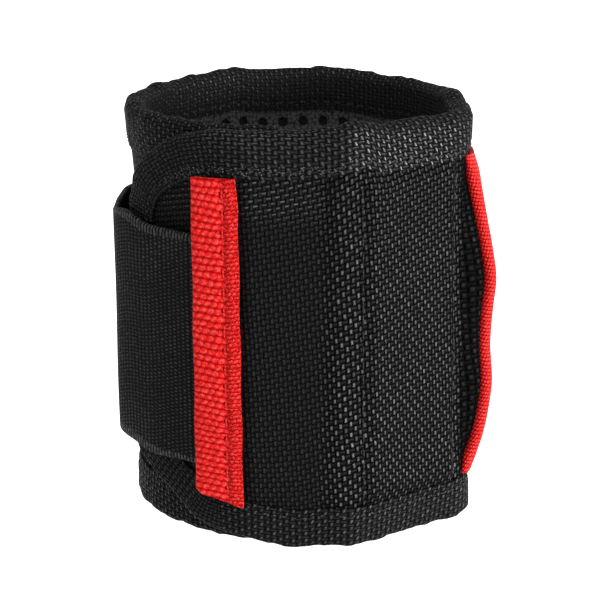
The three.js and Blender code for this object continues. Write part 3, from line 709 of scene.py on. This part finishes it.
def fuzzyKnit(name, look, rough=0.9):
    material, uv = startCloth(name)[:2]
    fibre = unevenness(uv, 2.6, 5.0)
    top = (1 - cells(uv, 1 / look["loop"], Randomness=0.75)) * 0.7 + fibre * 0.6
    colour = top.within(0.25, 1.1).blend(look["dark"], look["lit"])
    fixed = {"Specular IOR Level": 0.06, "Coat Roughness": 0.5}
    finishMaterial(uv, colour, rough - fibre * 0.1, top, look["depth"], fibre.within(0.5, 0.8) * 0.2, fixed)
    return material


def twistedThread(name, deep, lit):
    material, uv, u, v = startCloth(name)
    ply = ((u * 2.2 + v * 1.6) * math.pi).wave() * 0.5 + 0.5
    colour = (ply * 0.8).blend(deep, lit)
    finishMaterial(uv, colour, 0.5 - ply * 0.1, ply, 0.06, None, {"Specular IOR Level": 0.08})
    return material


hookLook = {
    "pitch": 1.3, "row": 1.15, "depth": 0.6,
    "dark": (0.0015, 0.0015, 0.0016, 1), "lit": (0.02, 0.02, 0.0205, 1),
}


def hookRows(name, look):  # rows of small moulded hooks
    material, uv, u, v = startCloth(name)
    b = v / look["row"]
    side, up = (u / look["pitch"] + b.whole() * 0.5).centred(), b.centred()
    stud = (1 - side * side * 2.6 - up * up * 1.5).most(0.0) ** 0.5
    colour = stud.within(0.1, 0.9).blend(look["dark"], look["lit"])
    finishMaterial(uv, colour, 0.55 - stud * 0.15, stud, look["depth"], None, {"Specular IOR Level": 0.1})
    return material


def speckled(name, dark, lit, rough, metallic):  # moulded plastic and plated metal
    material, dye = startMaterial(name)
    spots = dye.node("TexNoise", None, {"Scale": 900.0, "Detail": 3.0})
    colour = spots.within(0.3, 0.7).blend(dark, lit)
    finishMaterial(dye, colour, rough + spots * 0.15, spots, 0.01, None, {"Metallic": metallic})
    return material


shellCloth = wovenCloth("shellCloth", weaveLook)
bindingTape = wovenCloth("bindingTape", tapeLook, True)
lowTape = wovenCloth("lowTape", lowLook, True)
redWebbing = beadedWebbing("redWebbing", redLook)
elastic = ribbedElastic("elastic", elasticLook, strapLow, strapTop)
spacerMesh = fuzzyKnit("spacerMesh", knitLook)
foamSheet = fuzzyKnit("foamSheet", foamLook)
loopPile = fuzzyKnit("loopPile", pileLook, 1.0)
hookPlastic = hookRows("hookPlastic", hookLook)
carrierPlastic = speckled("carrierPlastic", (0.02, 0.02, 0.02, 1), (0.035, 0.035, 0.036, 1), 0.45, 0.0)
magnetPlating = speckled("magnetPlating", (0.5, 0.5, 0.51, 1), (0.62, 0.62, 0.63, 1), 0.22, 1.0)
blackThread = twistedThread("blackThread", (0.002, 0.002, 0.002, 1), (0.026, 0.026, 0.0265, 1))
seamThread = twistedThread("seamThread", (0.001, 0.001, 0.001, 1), (0.006, 0.006, 0.0062, 1))
redThread = twistedThread("redThread", (0.2, 0.002, 0.003, 1), (0.5, 0.009, 0.009, 1))
print("materials made")


# joints that the cloth crosses: pieces of the back are parented to the back body, the others keep their place

bends = {  # the two bodies at each joint that a length crosses, and the places along the band around it
    "outer_end": ("outer_end", "front", 13.5, leftFold + 0.6),
    "front": ("front", "side", rightStrip[1] + 0.6, sideFold + 13),
    "side": ("side", "back", backFold - 8, backFold + 8),
}


def blendAt(piece, place, bodyA, bodyB, start, end):
    start, end = (Vector(place(at, 0, height / 2)) * mm for at in (start, end))
    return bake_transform(piece)


def follow(piece, section):
    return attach(piece, "back") if section == "back" else blendAt(piece, onBand, *bends[section])


def dress(piece, slotName, *nodes):
    if nodes:
        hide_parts(*nodes)
    return piece


def declareSheet(piece, across, up, held, restsOn, **more):  # its flat size in millimetres
    across * mm
    up * mm


# the band's layers and bindings

inset = 1.4  # layers end this far inside the rolled edge
noseSteps = [0.001, 0.006, 0.016, 0.03]  # stations that crowd at the band's ends

endEdges = {  # edge of each end of the band, from the top round to the bottom
    "outer_end": [(27, 90), (24.8, 89.8), (20.3, 88.9), (16.1, 87.6), (11.4, 85.3), (6.1, 81.5), (3.6, 78.5),
                  (1.5, 74.1), (0.4, 69), (0, 62), (0, 45), (0, 30), (0.2, 22), (0.8, 18.2), (2.4, 15.9),
                  (5.8, 14.0), (9.7, 11.8), (13.1, 9.8), (16, 8.0), (18.3, 6.2), (20.4, 5.0), (22.9, 4.2),
                  (25, 3.8), (27, 3.6)],
    "back": [(0, 90), (8, 88), (13, 84), (16, 79), (17, 73), (17, 45), (17, 17), (16, 11), (13, 6), (8, 2),
             (0, 0)],
}


def endRoute(section):  # along the top, round the end and back along the bottom: s, z, inward s, inward z
    knots = np.array(endEdges[section], float)
    side = 1
    if section == "outer_end":
        knots[:, 1] -= footRise(knots[:, 0], knots[:, 1])
        knots[-1, 1] = 0
    else:
        side = -1
        cornersFrom = band.length - knots[:, 0].max()
        knots[:, 0] += cornersFrom
        start = along(lengths["back"][0], cornersFrom, 3)[:-1]
        knots = np.concatenate([columns(start, height), knots, columns(start[::-1], 0)])
    run = runAlong(*knots.T)
    at = along(0, run[-1], 1.0)
    s, z = (throughPoints(at, columns(run, line)) for line in knots.T)
    ahead = columns(np.gradient(s), np.gradient(z))
    ahead[[0, -1], 1] = 0  # meets the next length squarely
    ahead /= np.linalg.norm(ahead, axis=1, keepdims=True)
    return columns(s, z, -side * ahead[:, 1], side * ahead[:, 0])


def straightRoute(s, top):
    return columns(s, height if top else 0, 0, -1 if top else 1)


endRoutes = {section: endRoute(section) for section in endEdges}


def sectionEdges(section, step):  # stations along a length, with the layers' lower and upper edge at each
    start, end = lengths[section]
    if section not in endRoutes:
        s = along(start, end, step)
        return s, np.full(len(s), inset), np.full(len(s), height - inset)
    route = endRoutes[section]
    edge = route[:, :2] + inset * route[:, 2:]
    nose, far = (edge[:, 0].min(), end) if section == "outer_end" else (edge[:, 0].max(), start)
    s = nose + (far - nose) * np.concatenate([noseSteps, along(0.05, 1, step / abs(far - nose))])
    upper, lower = edge[edge[:, 1] > height / 2], edge[edge[:, 1] < height / 2]
    upper, lower = upper[np.argsort(upper[:, 0])], lower[np.argsort(lower[:, 0])]
    return s, np.interp(s, *lower.T), np.interp(s, *upper.T)


shellFace = (-ring["shell"], 0)
foamFace = (-ring["shell"] - lay - ring["foam"], -ring["shell"] - lay)
liningFace = (-bandThick, -bandThick + ring["lining"])

liningHoles = {
    "along": 5.2, "up": 4.36, "radius": 1.2, "lip": 0.5, "lipDip": 0.22,
    "cover": 9.8,  # no holes nearer than this to the bound edge
    "trim": 4.4, "trimReach": 23,  # and no cloth nearer than this, round the band's two ends
}


def edgeDepth(s, z, section):  # distance of a point from the band's bound edge
    if section not in endRoutes:
        return min(z, height - z)
    route = endRoutes[section]
    away = [s, z] - route[:, :2]
    nearest = np.hypot(*away.T).argmin()
    return float(away[nearest] @ route[nearest, 2:])


def boxWalk(columns, rows):  # points round a box of size 1, in even steps
    across, up = range(columns), range(rows)
    steps = [(x, 0) for x in across] + [(columns, y) for y in up]
    steps += [(columns - x, rows) for x in across] + [(0, rows - y) for y in up]
    return np.array(steps, float) / [columns, rows] - 0.5


def plainCell(around, middle):
    n = len(around)
    k = np.arange(0, n, 2)
    spots = np.column_stack([np.vstack([around, [middle]]), np.zeros(n + 1)])
    return spots, columns(k, (k + 1) % n, n, (k - 1) % n)


def holedCell(around, middle, circle):  # its hole has a sunk lip
    n = len(around)
    k = np.arange(n)
    over = (k + 1) % n
    lip = circle * (liningHoles["radius"] + liningHoles["lip"]) + middle
    hole = circle * liningHoles["radius"] + middle
    dips = np.repeat([0, 0, liningHoles["lipDip"]], n)
    faces = columns(k, over, n + over, n + k)
    return np.column_stack([np.vstack([around, lip, hole]), dips]), np.vstack([faces, faces + n])


def perforatedLining(name, section):  # rows of cells, every other row set half over, most with a hole
    start, end = lengths[section]
    cellsAlong = max(2, int(round((end - start) / liningHoles["along"])))
    cellsUp = int(round((height - 2 * inset) / liningHoles["up"]))
    width, tall = (end - start) / cellsAlong, (height - 2 * inset) / cellsUp
    border, quarter = boxWalk(4, 2), boxWalk(2, 2)
    angle = np.arctan2(border[:, 1] * tall, border[:, 0] * width)
    circle = columns(np.cos(angle), np.sin(angle))
    spots, faces, count = [], [], 0
    for row in range(cellsUp):
        shifted = (row + 1) % 2
        for column in range(cellsAlong + shifted):
            s0 = start + (column + 0.5 - 0.5 * shifted) * width
            z0 = inset + (row + 0.5) * tall
            half = shifted and column in (0, cellsAlong)
            if half:
                s0 += (0.25 if column == 0 else -0.25) * width
            depth = edgeDepth(s0, z0, section)
            nearEnd = section in endRoutes and min(s0, band.length - s0) < liningHoles["trimReach"]
            if depth < liningHoles["trim"] and nearEnd:
                continue
            middle = [s0, z0]
            around = (quarter * [width / 2, tall] if half else border * [width, tall]) + middle
            plain = half or depth <= liningHoles["cover"]
            cell, quads = plainCell(around, middle) if plain else holedCell(around, middle, circle)
            spots.append(cell)
            faces.append(quads + count)
            count += len(cell)
    spots, faces = np.vstack(spots), np.vstack(faces)
    flat = np.round(spots[:, :2], 3)
    first, index = np.unique(flat, axis=0, return_index=True, return_inverse=True)[1:]  # cells share corners
    s, z, dip = spots[first].T
    faces = index.ravel()[faces]
    tIn, tOut = liningFace
    piece = thickPatch(name, spacerMesh, s, z, faces, tIn + dip, tOut)
    declareSheet(piece, end - start, height, "stretched", f"{section}_foam", area=flatArea(s, z, faces))
    return piece


def foldDepths(legs, reach, swing, wall=0):  # distance from the fold, down one leg and up the other
    return np.concatenate([legs, wall + (reach - wall) * (1 - np.cos(swing)), legs[::-1]])


def tapeSection():  # outer face of the folded tape from its outer free edge to its inner one, then back
    outer, inner = tapeOut, -bandThick - tapeOut
    middle, half = (outer + inner) / 2, (outer - inner) / 2
    thick, width = tape["thick"], tape["width"]
    legs = np.array(tape["legs"]) * width
    press = tape["edgePress"] * ease(legs, width - tape["edgeRun"], width)
    press = press + tape["seamDip"] * hump(legs, width - tape["seamIn"], tape["seamWidth"])
    swing = np.linspace(math.pi / 2, -math.pi / 2, 13)
    thin = thick * tape["legShare"]
    depth, depthBack = (foldDepths(legs, tape["roll"], swing, wall) for wall in (0, thick))
    t = np.concatenate([outer - press, middle + half * np.sin(swing), (inner + press)[::-1]])
    tBack = np.concatenate([
        np.maximum(outer - press - thin, tape["underneath"]),
        middle + (half - thick) * np.sin(swing),
        np.minimum(inner + press + thin, -bandThick - tape["underneath"])[::-1],
    ])
    return depth, t, depthBack, tBack


def tapePucker(run, depth):  # ripples where the tape is sewn down
    waves = sum(share * swell(run, length, phase) for length, share, phase in tape["puckers"])
    return tape["ripple"] * waves * ease(depth, *tape["puckerZone"])


def rollLumps(run, depth, first):
    wave = sum(share * swell(run, length, phase + k * first) for length, share, phase, k in tape["lumps"])
    fromEnds = np.minimum(run, run[-1] - run)
    return wave / 2 * (1 - ease(depth, *tape["lumpZone"])) * ease(fromEnds, 0, tape["lumpEnds"])


def padShare(s):  # how far the panel stands over the carriers, with its two sewn rows down
    rises = [
        (leftSewn - panel["rowStart"], 0), (leftSewn, panel["leftShare"]),
        (leftPad - padHalf, 1), (leftPad + padHalf, 1),
        (middleSewn, panel["rowShare"]), (middleSewn + panel["rowStep"], 1),
        (rightPad + padHalf, 1), (rightSewn, 0),
    ]
    return sum(np.interp(s + blur, *zip(*rises)) for blur in (-panel["blur"], 0, panel["blur"])) / 3


def panelUnder(s):  # lift of the bindings where they lie over the magnet panel
    before, after, last = panel["climb"]
    over = ease(s, panelFrom - before, panelFrom + after) * (1 - ease(s, panelTo - last, panelTo))
    return (panel["thick"] + panel["tapeGap"] + panel["rise"] * panel["tapeShare"] * padShare(s)) * over


def edgeTape(name, route, material):
    depth, t, depthBack, tBack = tapeSection()
    run = runAlong(*route[:, :2].T)[:, None]
    sign = np.where(np.arange(len(t)) < len(t) / 2, 1, -1)
    reach = np.clip((depth - tape["liftFrom"]) / (tape["width"] - tape["liftFrom"]), 0, 1)
    raised = panelUnder(route[:, :1]) * reach * (sign > 0)
    bulge = np.sin(np.clip((t + bandThick / 2) / (bandThick / 2), -1, 1) * math.pi / 2)
    tOuter = t + tapePucker(run, depth) * sign + raised
    tOuter = tOuter + tape["lumpOut"] * rollLumps(run, depth, tape["outPhase"]) * bulge
    lumps = tape["lumpHigh"] * rollLumps(run, depth, tape["highPhase"])
    depths, ts = thereAndBack(depth - lumps, depthBack - lumps), thereAndBack(tOuter, tBack + raised)
    s = route[:, :1] + depths * route[:, 2:3]
    z = route[:, 1:2] + depths * route[:, 3:4]
    across = runAlong(depth, t)
    sense = np.sign(route[1, 0] - route[0, 0])
    uv = columns(route[0, 0] + sense * run, np.concatenate([across, across[::-1]]))
    piece = dress(loft(name, onBand(s, ts, z), uv, material), "binding_tape")
    return piece, float(run[-1, 0]), float(across[-1])


def tapeStitches(name, route, side):
    path = route[:, :2] + (tape["width"] - tape["seamIn"]) * route[:, 2:4]
    rest = tapeOut - tape["seamDip"] - tape["stitchSink"]
    place, face = onBand, lambda s, z: rest + panelUnder(s)
    if side == "inner":
        place, face = lambda s, t, z: onBand(s, -bandThick - t, z), rest
    row = threadRow(name, blackThread, place, path, face, tape[f"{side}Stitch"])
    return dress(row, "binding_tape")


sectionLayers = [("shell", shellCloth, shellFace, "shell_cloth"), ("foam", foamSheet, foamFace, "foam")]
for section, (start, end) in lengths.items():
    s, low, high = sectionEdges(section, 1.5)
    foam = f"{section}_foam"
    for layer, material, face, slotName in sectionLayers:
        name = f"{section}_{layer}"
        piece = clothSheet(f"{name}_cloth", material, onBand, s, low, high, *face, step=2.5, edge=0.25)
        dress(piece, slotName, name)
        if layer == "foam":
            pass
        else:
            declareSheet(piece, end - start, height, "stretched", foam)
        follow(piece, section)
    piece = dress(perforatedLining(f"{section}_mesh", section), "mesh_lining", f"{section}_lining")
    follow(piece, section)
    if section in endRoutes:
        routes = {"binding": endRoutes[section]}
    else:
        s = along(start, end, 1.2)
        routes = {"top_binding": straightRoute(s, True), "bottom_binding": straightRoute(s, False)}
    for part, route in routes.items():
        name = f"{section}_{part}"
        material = lowTape if part == "bottom_binding" else bindingTape
        piece, run, across = edgeTape(f"{name}_tape", route, material)
        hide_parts(name)
        follow(piece, section)
        rows = [tapeStitches(f"{name}_{side}_stitches", route, side) for side in ("outer", "inner")]
        for row in rows:
            follow(row, section)
        declareSheet(piece, across, run, "folded", foam, with_pieces=rows)
print("band layers and bindings made")


# magnet panel and red strips

def uprightRoute(s, low, high):
    return columns(s, along(low, high, 1.0))


def stripOuter(z):  # outer face of the right strip, which stands off the band
    return throughPoints(z, webbing["outerFace"])


def stripInner(z):
    return np.maximum(stripOuter(z) - webbing["rightFold"], lay)


def panelFace(s, z):
    s, z = together(s, z)
    clear = np.minimum(z - trimLow, trimTop - z)  # height from the nearer binding
    least = panel["tapeShare"]
    upright = np.interp(clear, [-panel["tuck"], 0, panel["brow"]], [panel["tuckShare"] * least, least, 1])
    pads = padShare(s) * upright
    # the cloth runs straight from the left pad to the middle row
    chord = np.clip((s - leftPad - padHalf) * (middleSewn - s), 0, None) / (2 * panel["foldRadius"])
    face = lay + panel["thick"] + panel["rise"] * pads - chord * upright
    for row in (middleSewn, rightSewn):
        near = hump(s, row, panel["rowWidth"])
        wave = panel["pucker"] * swell(z, panel["puckerPitch"], row)
        face = face - panel["rowDip"] * near + wave * hump(s, row, panel["puckerWidth"]) * (1 - near)
    inside = ease(clear, 0, panel["softIn"])  # lies flat under the bindings
    face = face + softWaves(s, z, panel["soft"]) * (1 - panel["padCalm"] * pads) * inside
    turnedUp = stripInner(z) + panel["turnUp"] - lay - panel["thick"]
    return face + turnedUp * ease(s, rightSewn + panel["turnFrom"], panelTo) ** panel["turnCurve"] * inside


panelPiece = clothSheet(
    "magnet_panel_cloth", shellCloth, onBand, along(panelFrom, panelTo, 0.75),
    trimLow - panel["tuck"], trimTop + panel["tuck"],
    lambda s, z: panelFace(s, z) - panel["thick"], panelFace, step=0.85, edge=0.3,
)
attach(dress(panelPiece, "shell_cloth", "magnet_panel"), "front")
panelRows = []
for label, place, thread in (("middle", middleSewn, seamThread), ("right", rightSewn, blackThread)):
    route = uprightRoute(place, trimLow + panel["rowIn"], trimTop - panel["rowIn"])
    row = threadRow(f"panel_{label}_stitches", thread, onBand, route, panelFace, panel["stitch"])
    panelRows.append(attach(dress(row, "shell_cloth"), "front"))
declareSheet(panelPiece, panelTo - panelFrom + panel["hem"], trimTop - trimLow + panel["hem"], "stretched",
             "front_shell_cloth", with_pieces=panelRows)


# webbing folded double, from its fold to its free edges
def foldedStrip(name, node, fold, free, low, high, inner, outer, spread=0, draw=0, tilt=0, bow=0, grain=1):
    width = abs(free - fold)
    rows, stations, measuredRow = 84, 22, 40
    swing = np.linspace(math.pi / 2, -math.pi / 2, 11)
    z = np.linspace(0, 1, rows)[:, None]
    legs = width * np.linspace(1, webbing["legEnd"], stations)
    depth = foldDepths(legs, webbing["roll"], swing)
    share = np.concatenate([np.ones(stations), np.sin(swing), -np.ones(stations)])
    foldHigh, foldRate = webbing["foldWave"]
    freeHigh, freeRate = webbing["freeWave"]
    foldAt = fold - spread * (1 - z) + foldHigh * np.sin(z * foldRate) - bow * (2 * z - 1) ** 4
    freeAt = free - draw * ease(z, webbing["drawFrom"], 1) + freeHigh * np.sin(z * freeRate + 1)
    s = foldAt + (freeAt - foldAt) / width * depth
    zs = low(s) + z * (high(s) - low(s))
    tIn = lay + (inner(zs) - lay) * (1 - tilt * depth / width)
    tOut = tIn + outer(zs) - inner(zs)
    wear = hump(depth, width - webbing["rowIn"], webbing["rowWidth"]) * webbing["pinch"]
    wear = wear + webbing["wear"] * ease(depth, *webbing["wearRun"])
    wear = wear + webbing["edgeWear"] * ease(depth, width - webbing["edgeRun"], width)
    half = (tOut - tIn - wear) / 2
    middle = tIn + half
    wall = webbing["wall"] * half
    depthBack = foldDepths(legs, webbing["roll"], swing, wall[0].mean())
    sBack = foldAt + (freeAt - foldAt) / width * depthBack
    front = onBand(s, middle + half * share, zs)
    back = onBand(sBack, middle + (half - wall) * share, zs)
    across = runAlong(depth, share * half[measuredRow])
    uv = columns(across, zs) * grain
    piece = loft(name, thereAndBack(front, back), thereAndBack(uv, uv), redWebbing)
    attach(dress(piece, "red_webbing", node), "front")
    rowAt = free + (fold - free) / width * webbing["rowIn"]
    rowLow, rowTop = webbing["rowEnds"]
    route = uprightRoute(rowAt, float(low(rowAt)) + rowLow, float(high(rowAt)) - rowTop)
    rowLift = 1 - tilt * (width - webbing["rowIn"]) / width
    sunk = webbing["pinch"] + webbing["wear"] + webbing["stitchSink"]
    rowFace = lambda s, z: lay + (inner(z) - lay) * rowLift + outer(z) - inner(z) - sunk
    row = threadRow(f"{name}_stitches", redThread, onBand, route, rowFace, webbing["stitch"])
    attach(dress(row, "red_webbing"), "front")
    tall = float(np.mean(high(s) - low(s)))
    declareSheet(piece, across[-1], tall, "folded", "front_shell_cloth", with_pieces=[row])


leftLift = lay + strap["thick"] + lay
leftFrom = leftStrip[0] + webbing["leftIn"]


def leftLow(s):  # lower end of the left strip, cut askew and rounded at the fold
    share = np.clip((s - leftFrom) / (leftStrip[1] - leftFrom), 0, 1)
    foldLow = webbing["foldLow"] * (1 - ease(share, 0, webbing["foldLowRun"]))
    return webbing["leftLow"] - webbing["slant"] * share + foldLow


foldedStrip(
    "left_red_strip", "left_red_webbing", leftFrom, leftStrip[1], leftLow, steady(webbing["leftTop"]),
    steady(leftLift), steady(leftLift + webbing["fold"]),
    spread=webbing["leftSpread"], draw=webbing["topDraw"],
)
foldedStrip(
    "right_red_strip", "right_red_webbing", rightStrip[0] - webbing["rightOut"], rightStrip[1],
    steady(trimLow + webbing["rightLow"]), steady(trimTop + webbing["rightTop"]), stripInner, stripOuter,
    tilt=webbing["tilt"], bow=webbing["rightBow"], grain=webbing["rightGrain"],
)
print("panel and red strips made")


# elastic strap, hook patch and loop panel

strapLift = tapeOut + lay
backCentre = band.offset(band.marks[backRun], -backRadius)


def strapLine():  # back over the outer end, round its tip and on to the loop panel
    lapOut = lapShift + strapLift
    foldRun = lapRun + 1
    turned = band.headings[foldRun] + band.rates[foldRun] * (leftFold - band.marks[foldRun])
    heading = math.degrees(turned) + 180
    overFlap = [
        (leftFold - band.marks[lapRun], 0),
        bend(ring["lapRadius"] + lapOut, -ring["lapTurn"]),
        bend(ring["leftWall"] + lapOut, -flapTurn),
    ]
    start = band.offset(leftFold, strapLift)
    tip = PlanLine(start, heading, overFlap, -1)
    radius = strap["turnRadius"]
    centre = tip.offset(tip.length, -radius)
    ringRadius = backRadius + lay + strap["loopThick"] + ring["lapGap"] + strap["hookThick"] + lay
    between = centre - backCentre
    spread = math.acos((radius - ringRadius) / np.hypot(*between))
    touch = math.degrees(math.atan2(between[1], between[0]) + spread) % 360
    out = np.array([math.cos(math.radians(touch + 180)), math.sin(math.radians(touch + 180))])
    gap = np.hypot(*(centre + out * radius - backCentre - out * ringRadius))
    touchHeading = (touch + 90) % 360
    runs = overFlap + [
        bend(radius, touchHeading - (heading - ring["lapTurn"] - flapTurn)),
        (gap, 0),
        bend(ringRadius, strap["endAt"] - 90 - touchHeading),
    ]
    return PlanLine(start, heading, runs, -1), touchHeading


strapPath, ringHeading = strapLine()
foldShare = (ringHeading - (strap["foldAt"] - 90)) / (ringHeading - (strap["endAt"] - 90))
tailFold = strapPath.marks[-1] + foldShare * strapPath.lengths[-1]
tailBend = ("strap_run", "strap_tail", tailFold - strap["foldReach"], tailFold + strap["foldReach"])


def onStrap(q, t, z):  # q along the strap from the left fold; before it, the sewn end lies on the band
    q, t, z = together(q, t, z)
    plan = strapPath.offset(np.maximum(q, 0), t) + shift
    sunk = (strapLift - lay) * ease(-q, *strap["sinks"])
    sewn = onBand(leftFold - np.minimum(q, 0), t + strapLift, z)[..., :2]
    inward = onBand(leftFold - np.minimum(q, 0), t + strapLift - 1, z)[..., :2] - sewn
    plan = np.where(q[..., None] < 0, sewn, plan) + inward * sunk[..., None]
    lift = strap["lift"]
    for rise, start, end in strap["climbs"]:
        lift = lift + rise * ease(q, start, end)
    return np.concatenate([plan, (z + lift)[..., None]], -1)


def strapFace(side):  # the strap is thinner at its tip
    def face(s, z):
        share = rounded(strapPath.length - s, strap["edge"])
        return softWaves(s, z, strap["soft"]) * ease(s, 2, 8) + strap["thick"] * (1 + side * share) / 2
    return face


def strapEdge(s):
    return softWaves(s, 0, strap["edgeSoft"])


strapCut = tailFold - strap["cutBefore"]
sagDepth, sagAt, sagWidth = strap["sag"]
strapParts = [  # name, from, to, bodies and places of its bend, solids that it stands for
    ("strap_front_elastic", -strap["anchor"], strapCut, ("front", "strap_run", -0.4, 7.5),
     ["strap_sewn_end", "strap_run"]),
    ("strap_tail_elastic", strapCut, strapPath.length, tailBend, ["strap_tail"]),
]
for name, start, end, bending, nodes in strapParts:
    stations = along(start, end, 0.9)
    if end == strapPath.length:
        stations = np.concatenate([stations[:-1], end - strap["edge"] * edgeSteps[::-1]])
    piece = clothSheet(
        name, elastic, onStrap, stations,
        strapLow + strapEdge(stations) - sagDepth * hump(stations, sagAt, sagWidth),
        strapTop - strapEdge(stations + 5), strapFace(-1), strapFace(1), step=1.6, edge=strap["edge"],
    )
    dress(piece, "elastic", *nodes)
    declareSheet(piece, end - start, strap["width"], "stretched", "outer_end_shell_cloth")
    blendAt(piece, onStrap, *bending)

hookIn = strap["hookInset"]
hook = clothSheet(
    "hook_patch_tape", hookPlastic, onStrap, withEnds(tailFold + hookIn, strapPath.length - hookIn),
    strapLow + hookIn, strapTop - hookIn, -strap["hookGap"] - strap["hookPile"], -strap["hookGap"],
    step=2.0, edge=0.3, endEdge=0.3,
)
dress(hook, "hook_pile", "hook_patch")
declareSheet(hook, strapPath.length - tailFold - 2 * hookIn, strap["width"] - 2 * hookIn, "stretched",
             "strap_tail_elastic")
blendAt(hook, onStrap, *tailBend)

loopFrom, loopTo, margin = onBack(strap["loopFrom"]), onBack(strap["loopTo"]), strap["loopMargin"]
loop = clothSheet(
    "loop_panel_pile", loopPile, onBand, withEnds(loopFrom, loopTo), strapLow - margin, strapTop + margin,
    lay * strap["loopSink"], lay + strap["loopThick"], step=1.0, edge=0.5, endEdge=0.5,
)
dress(loop, "loop_pile", "loop_panel")
declareSheet(loop, loopTo - loopFrom, strap["width"] + 2 * margin, "stretched", "back_shell_cloth")
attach(loop, "back")
print("strap and closure made")

for node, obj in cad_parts.items():  # magnets and their carriers stay as they are, inside the panel
    if "magnet_" in node and node != "magnet_panel":
        obj.data.materials.clear()
        obj.data.materials.append(carrierPlastic if "carrier" in node else magnetPlating)


# floor, light and camera

stageLook = {
    "floorSize": 12.0, "floor": (0.3, 0.3, 0.3, 1), "glow": 4.7,  # the floor glows, so no shadow shows
    "world": 1.0, "aim": (0, 0, 0.045),
    "lights": [  # name, kind, place, energy, angle or sides
        ("overhead", "SUN", (0.15, -0.5, 1.45), 1.8, math.radians(70)),
        ("key", "AREA", (0.54, -0.28, 0.1), 12.5, (0.5, 0.2)),
        ("fill", "AREA", (-0.6, -0.7, 0.45), 0.3, (0.5, 0.5)),
    ],
    "camera": (-0.5, -462, 176.8), "pitch": 16, "roll": -0.64, "lens": 130, "sensor": 36,
}
scene = bpy.context.scene

floorMesh = bpy.data.meshes.new("floor")
half = stageLook["floorSize"] / 2
corners = [(-half, -half, 0), (half, -half, 0), (half, half, 0), (-half, half, 0)]
floorMesh.from_pydata(corners, [], [(0, 1, 2, 3)])
floor = bpy.data.objects.new("floor", floorMesh)
floorMaterial, dye = startMaterial("paleFloor")
glow = {"Emission Color": stageLook["floor"], "Emission Strength": stageLook["glow"]}
finishMaterial(dye, stageLook["floor"], 0.9, fixed=glow)
floorMesh.materials.append(floorMaterial)
scene.collection.objects.link(floor)
floor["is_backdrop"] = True

world = bpy.data.worlds.new("studio")
world.use_nodes = True
background = world.node_tree.nodes["Background"].inputs
background["Color"].default_value = (1, 1, 1, 1)
background["Strength"].default_value = stageLook["world"]
scene.world = world

for name, kind, place, energy, size in stageLook["lights"]:
    data = bpy.data.lights.new(name, kind)
    data.energy = energy
    if kind == "AREA":
        data.shape = "RECTANGLE"
        data.size, data.size_y = size
    else:
        data.angle = size
    lamp = bpy.data.objects.new(name, data)
    lamp.location = place
    lamp.rotation_euler = (Vector(stageLook["aim"]) - Vector(place)).to_track_quat("-Z", "Y").to_euler()
    scene.collection.objects.link(lamp)

cameraData = bpy.data.cameras.new("camera")
cameraData.lens = stageLook["lens"]
cameraData.sensor_width = stageLook["sensor"]
camera = bpy.data.objects.new("camera", cameraData)
pitch, roll = math.radians(90 - stageLook["pitch"]), math.radians(stageLook["roll"])
turn = Matrix.Rotation(pitch, 4, "X") @ Matrix.Rotation(roll, 4, "Z")
camera.matrix_world = Matrix.Translation(Vector(stageLook["camera"]) * mm) @ turn
scene.collection.objects.link(camera)
scene.camera = camera
scene.view_settings.view_transform = "Standard"
print("stage made")

low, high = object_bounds()
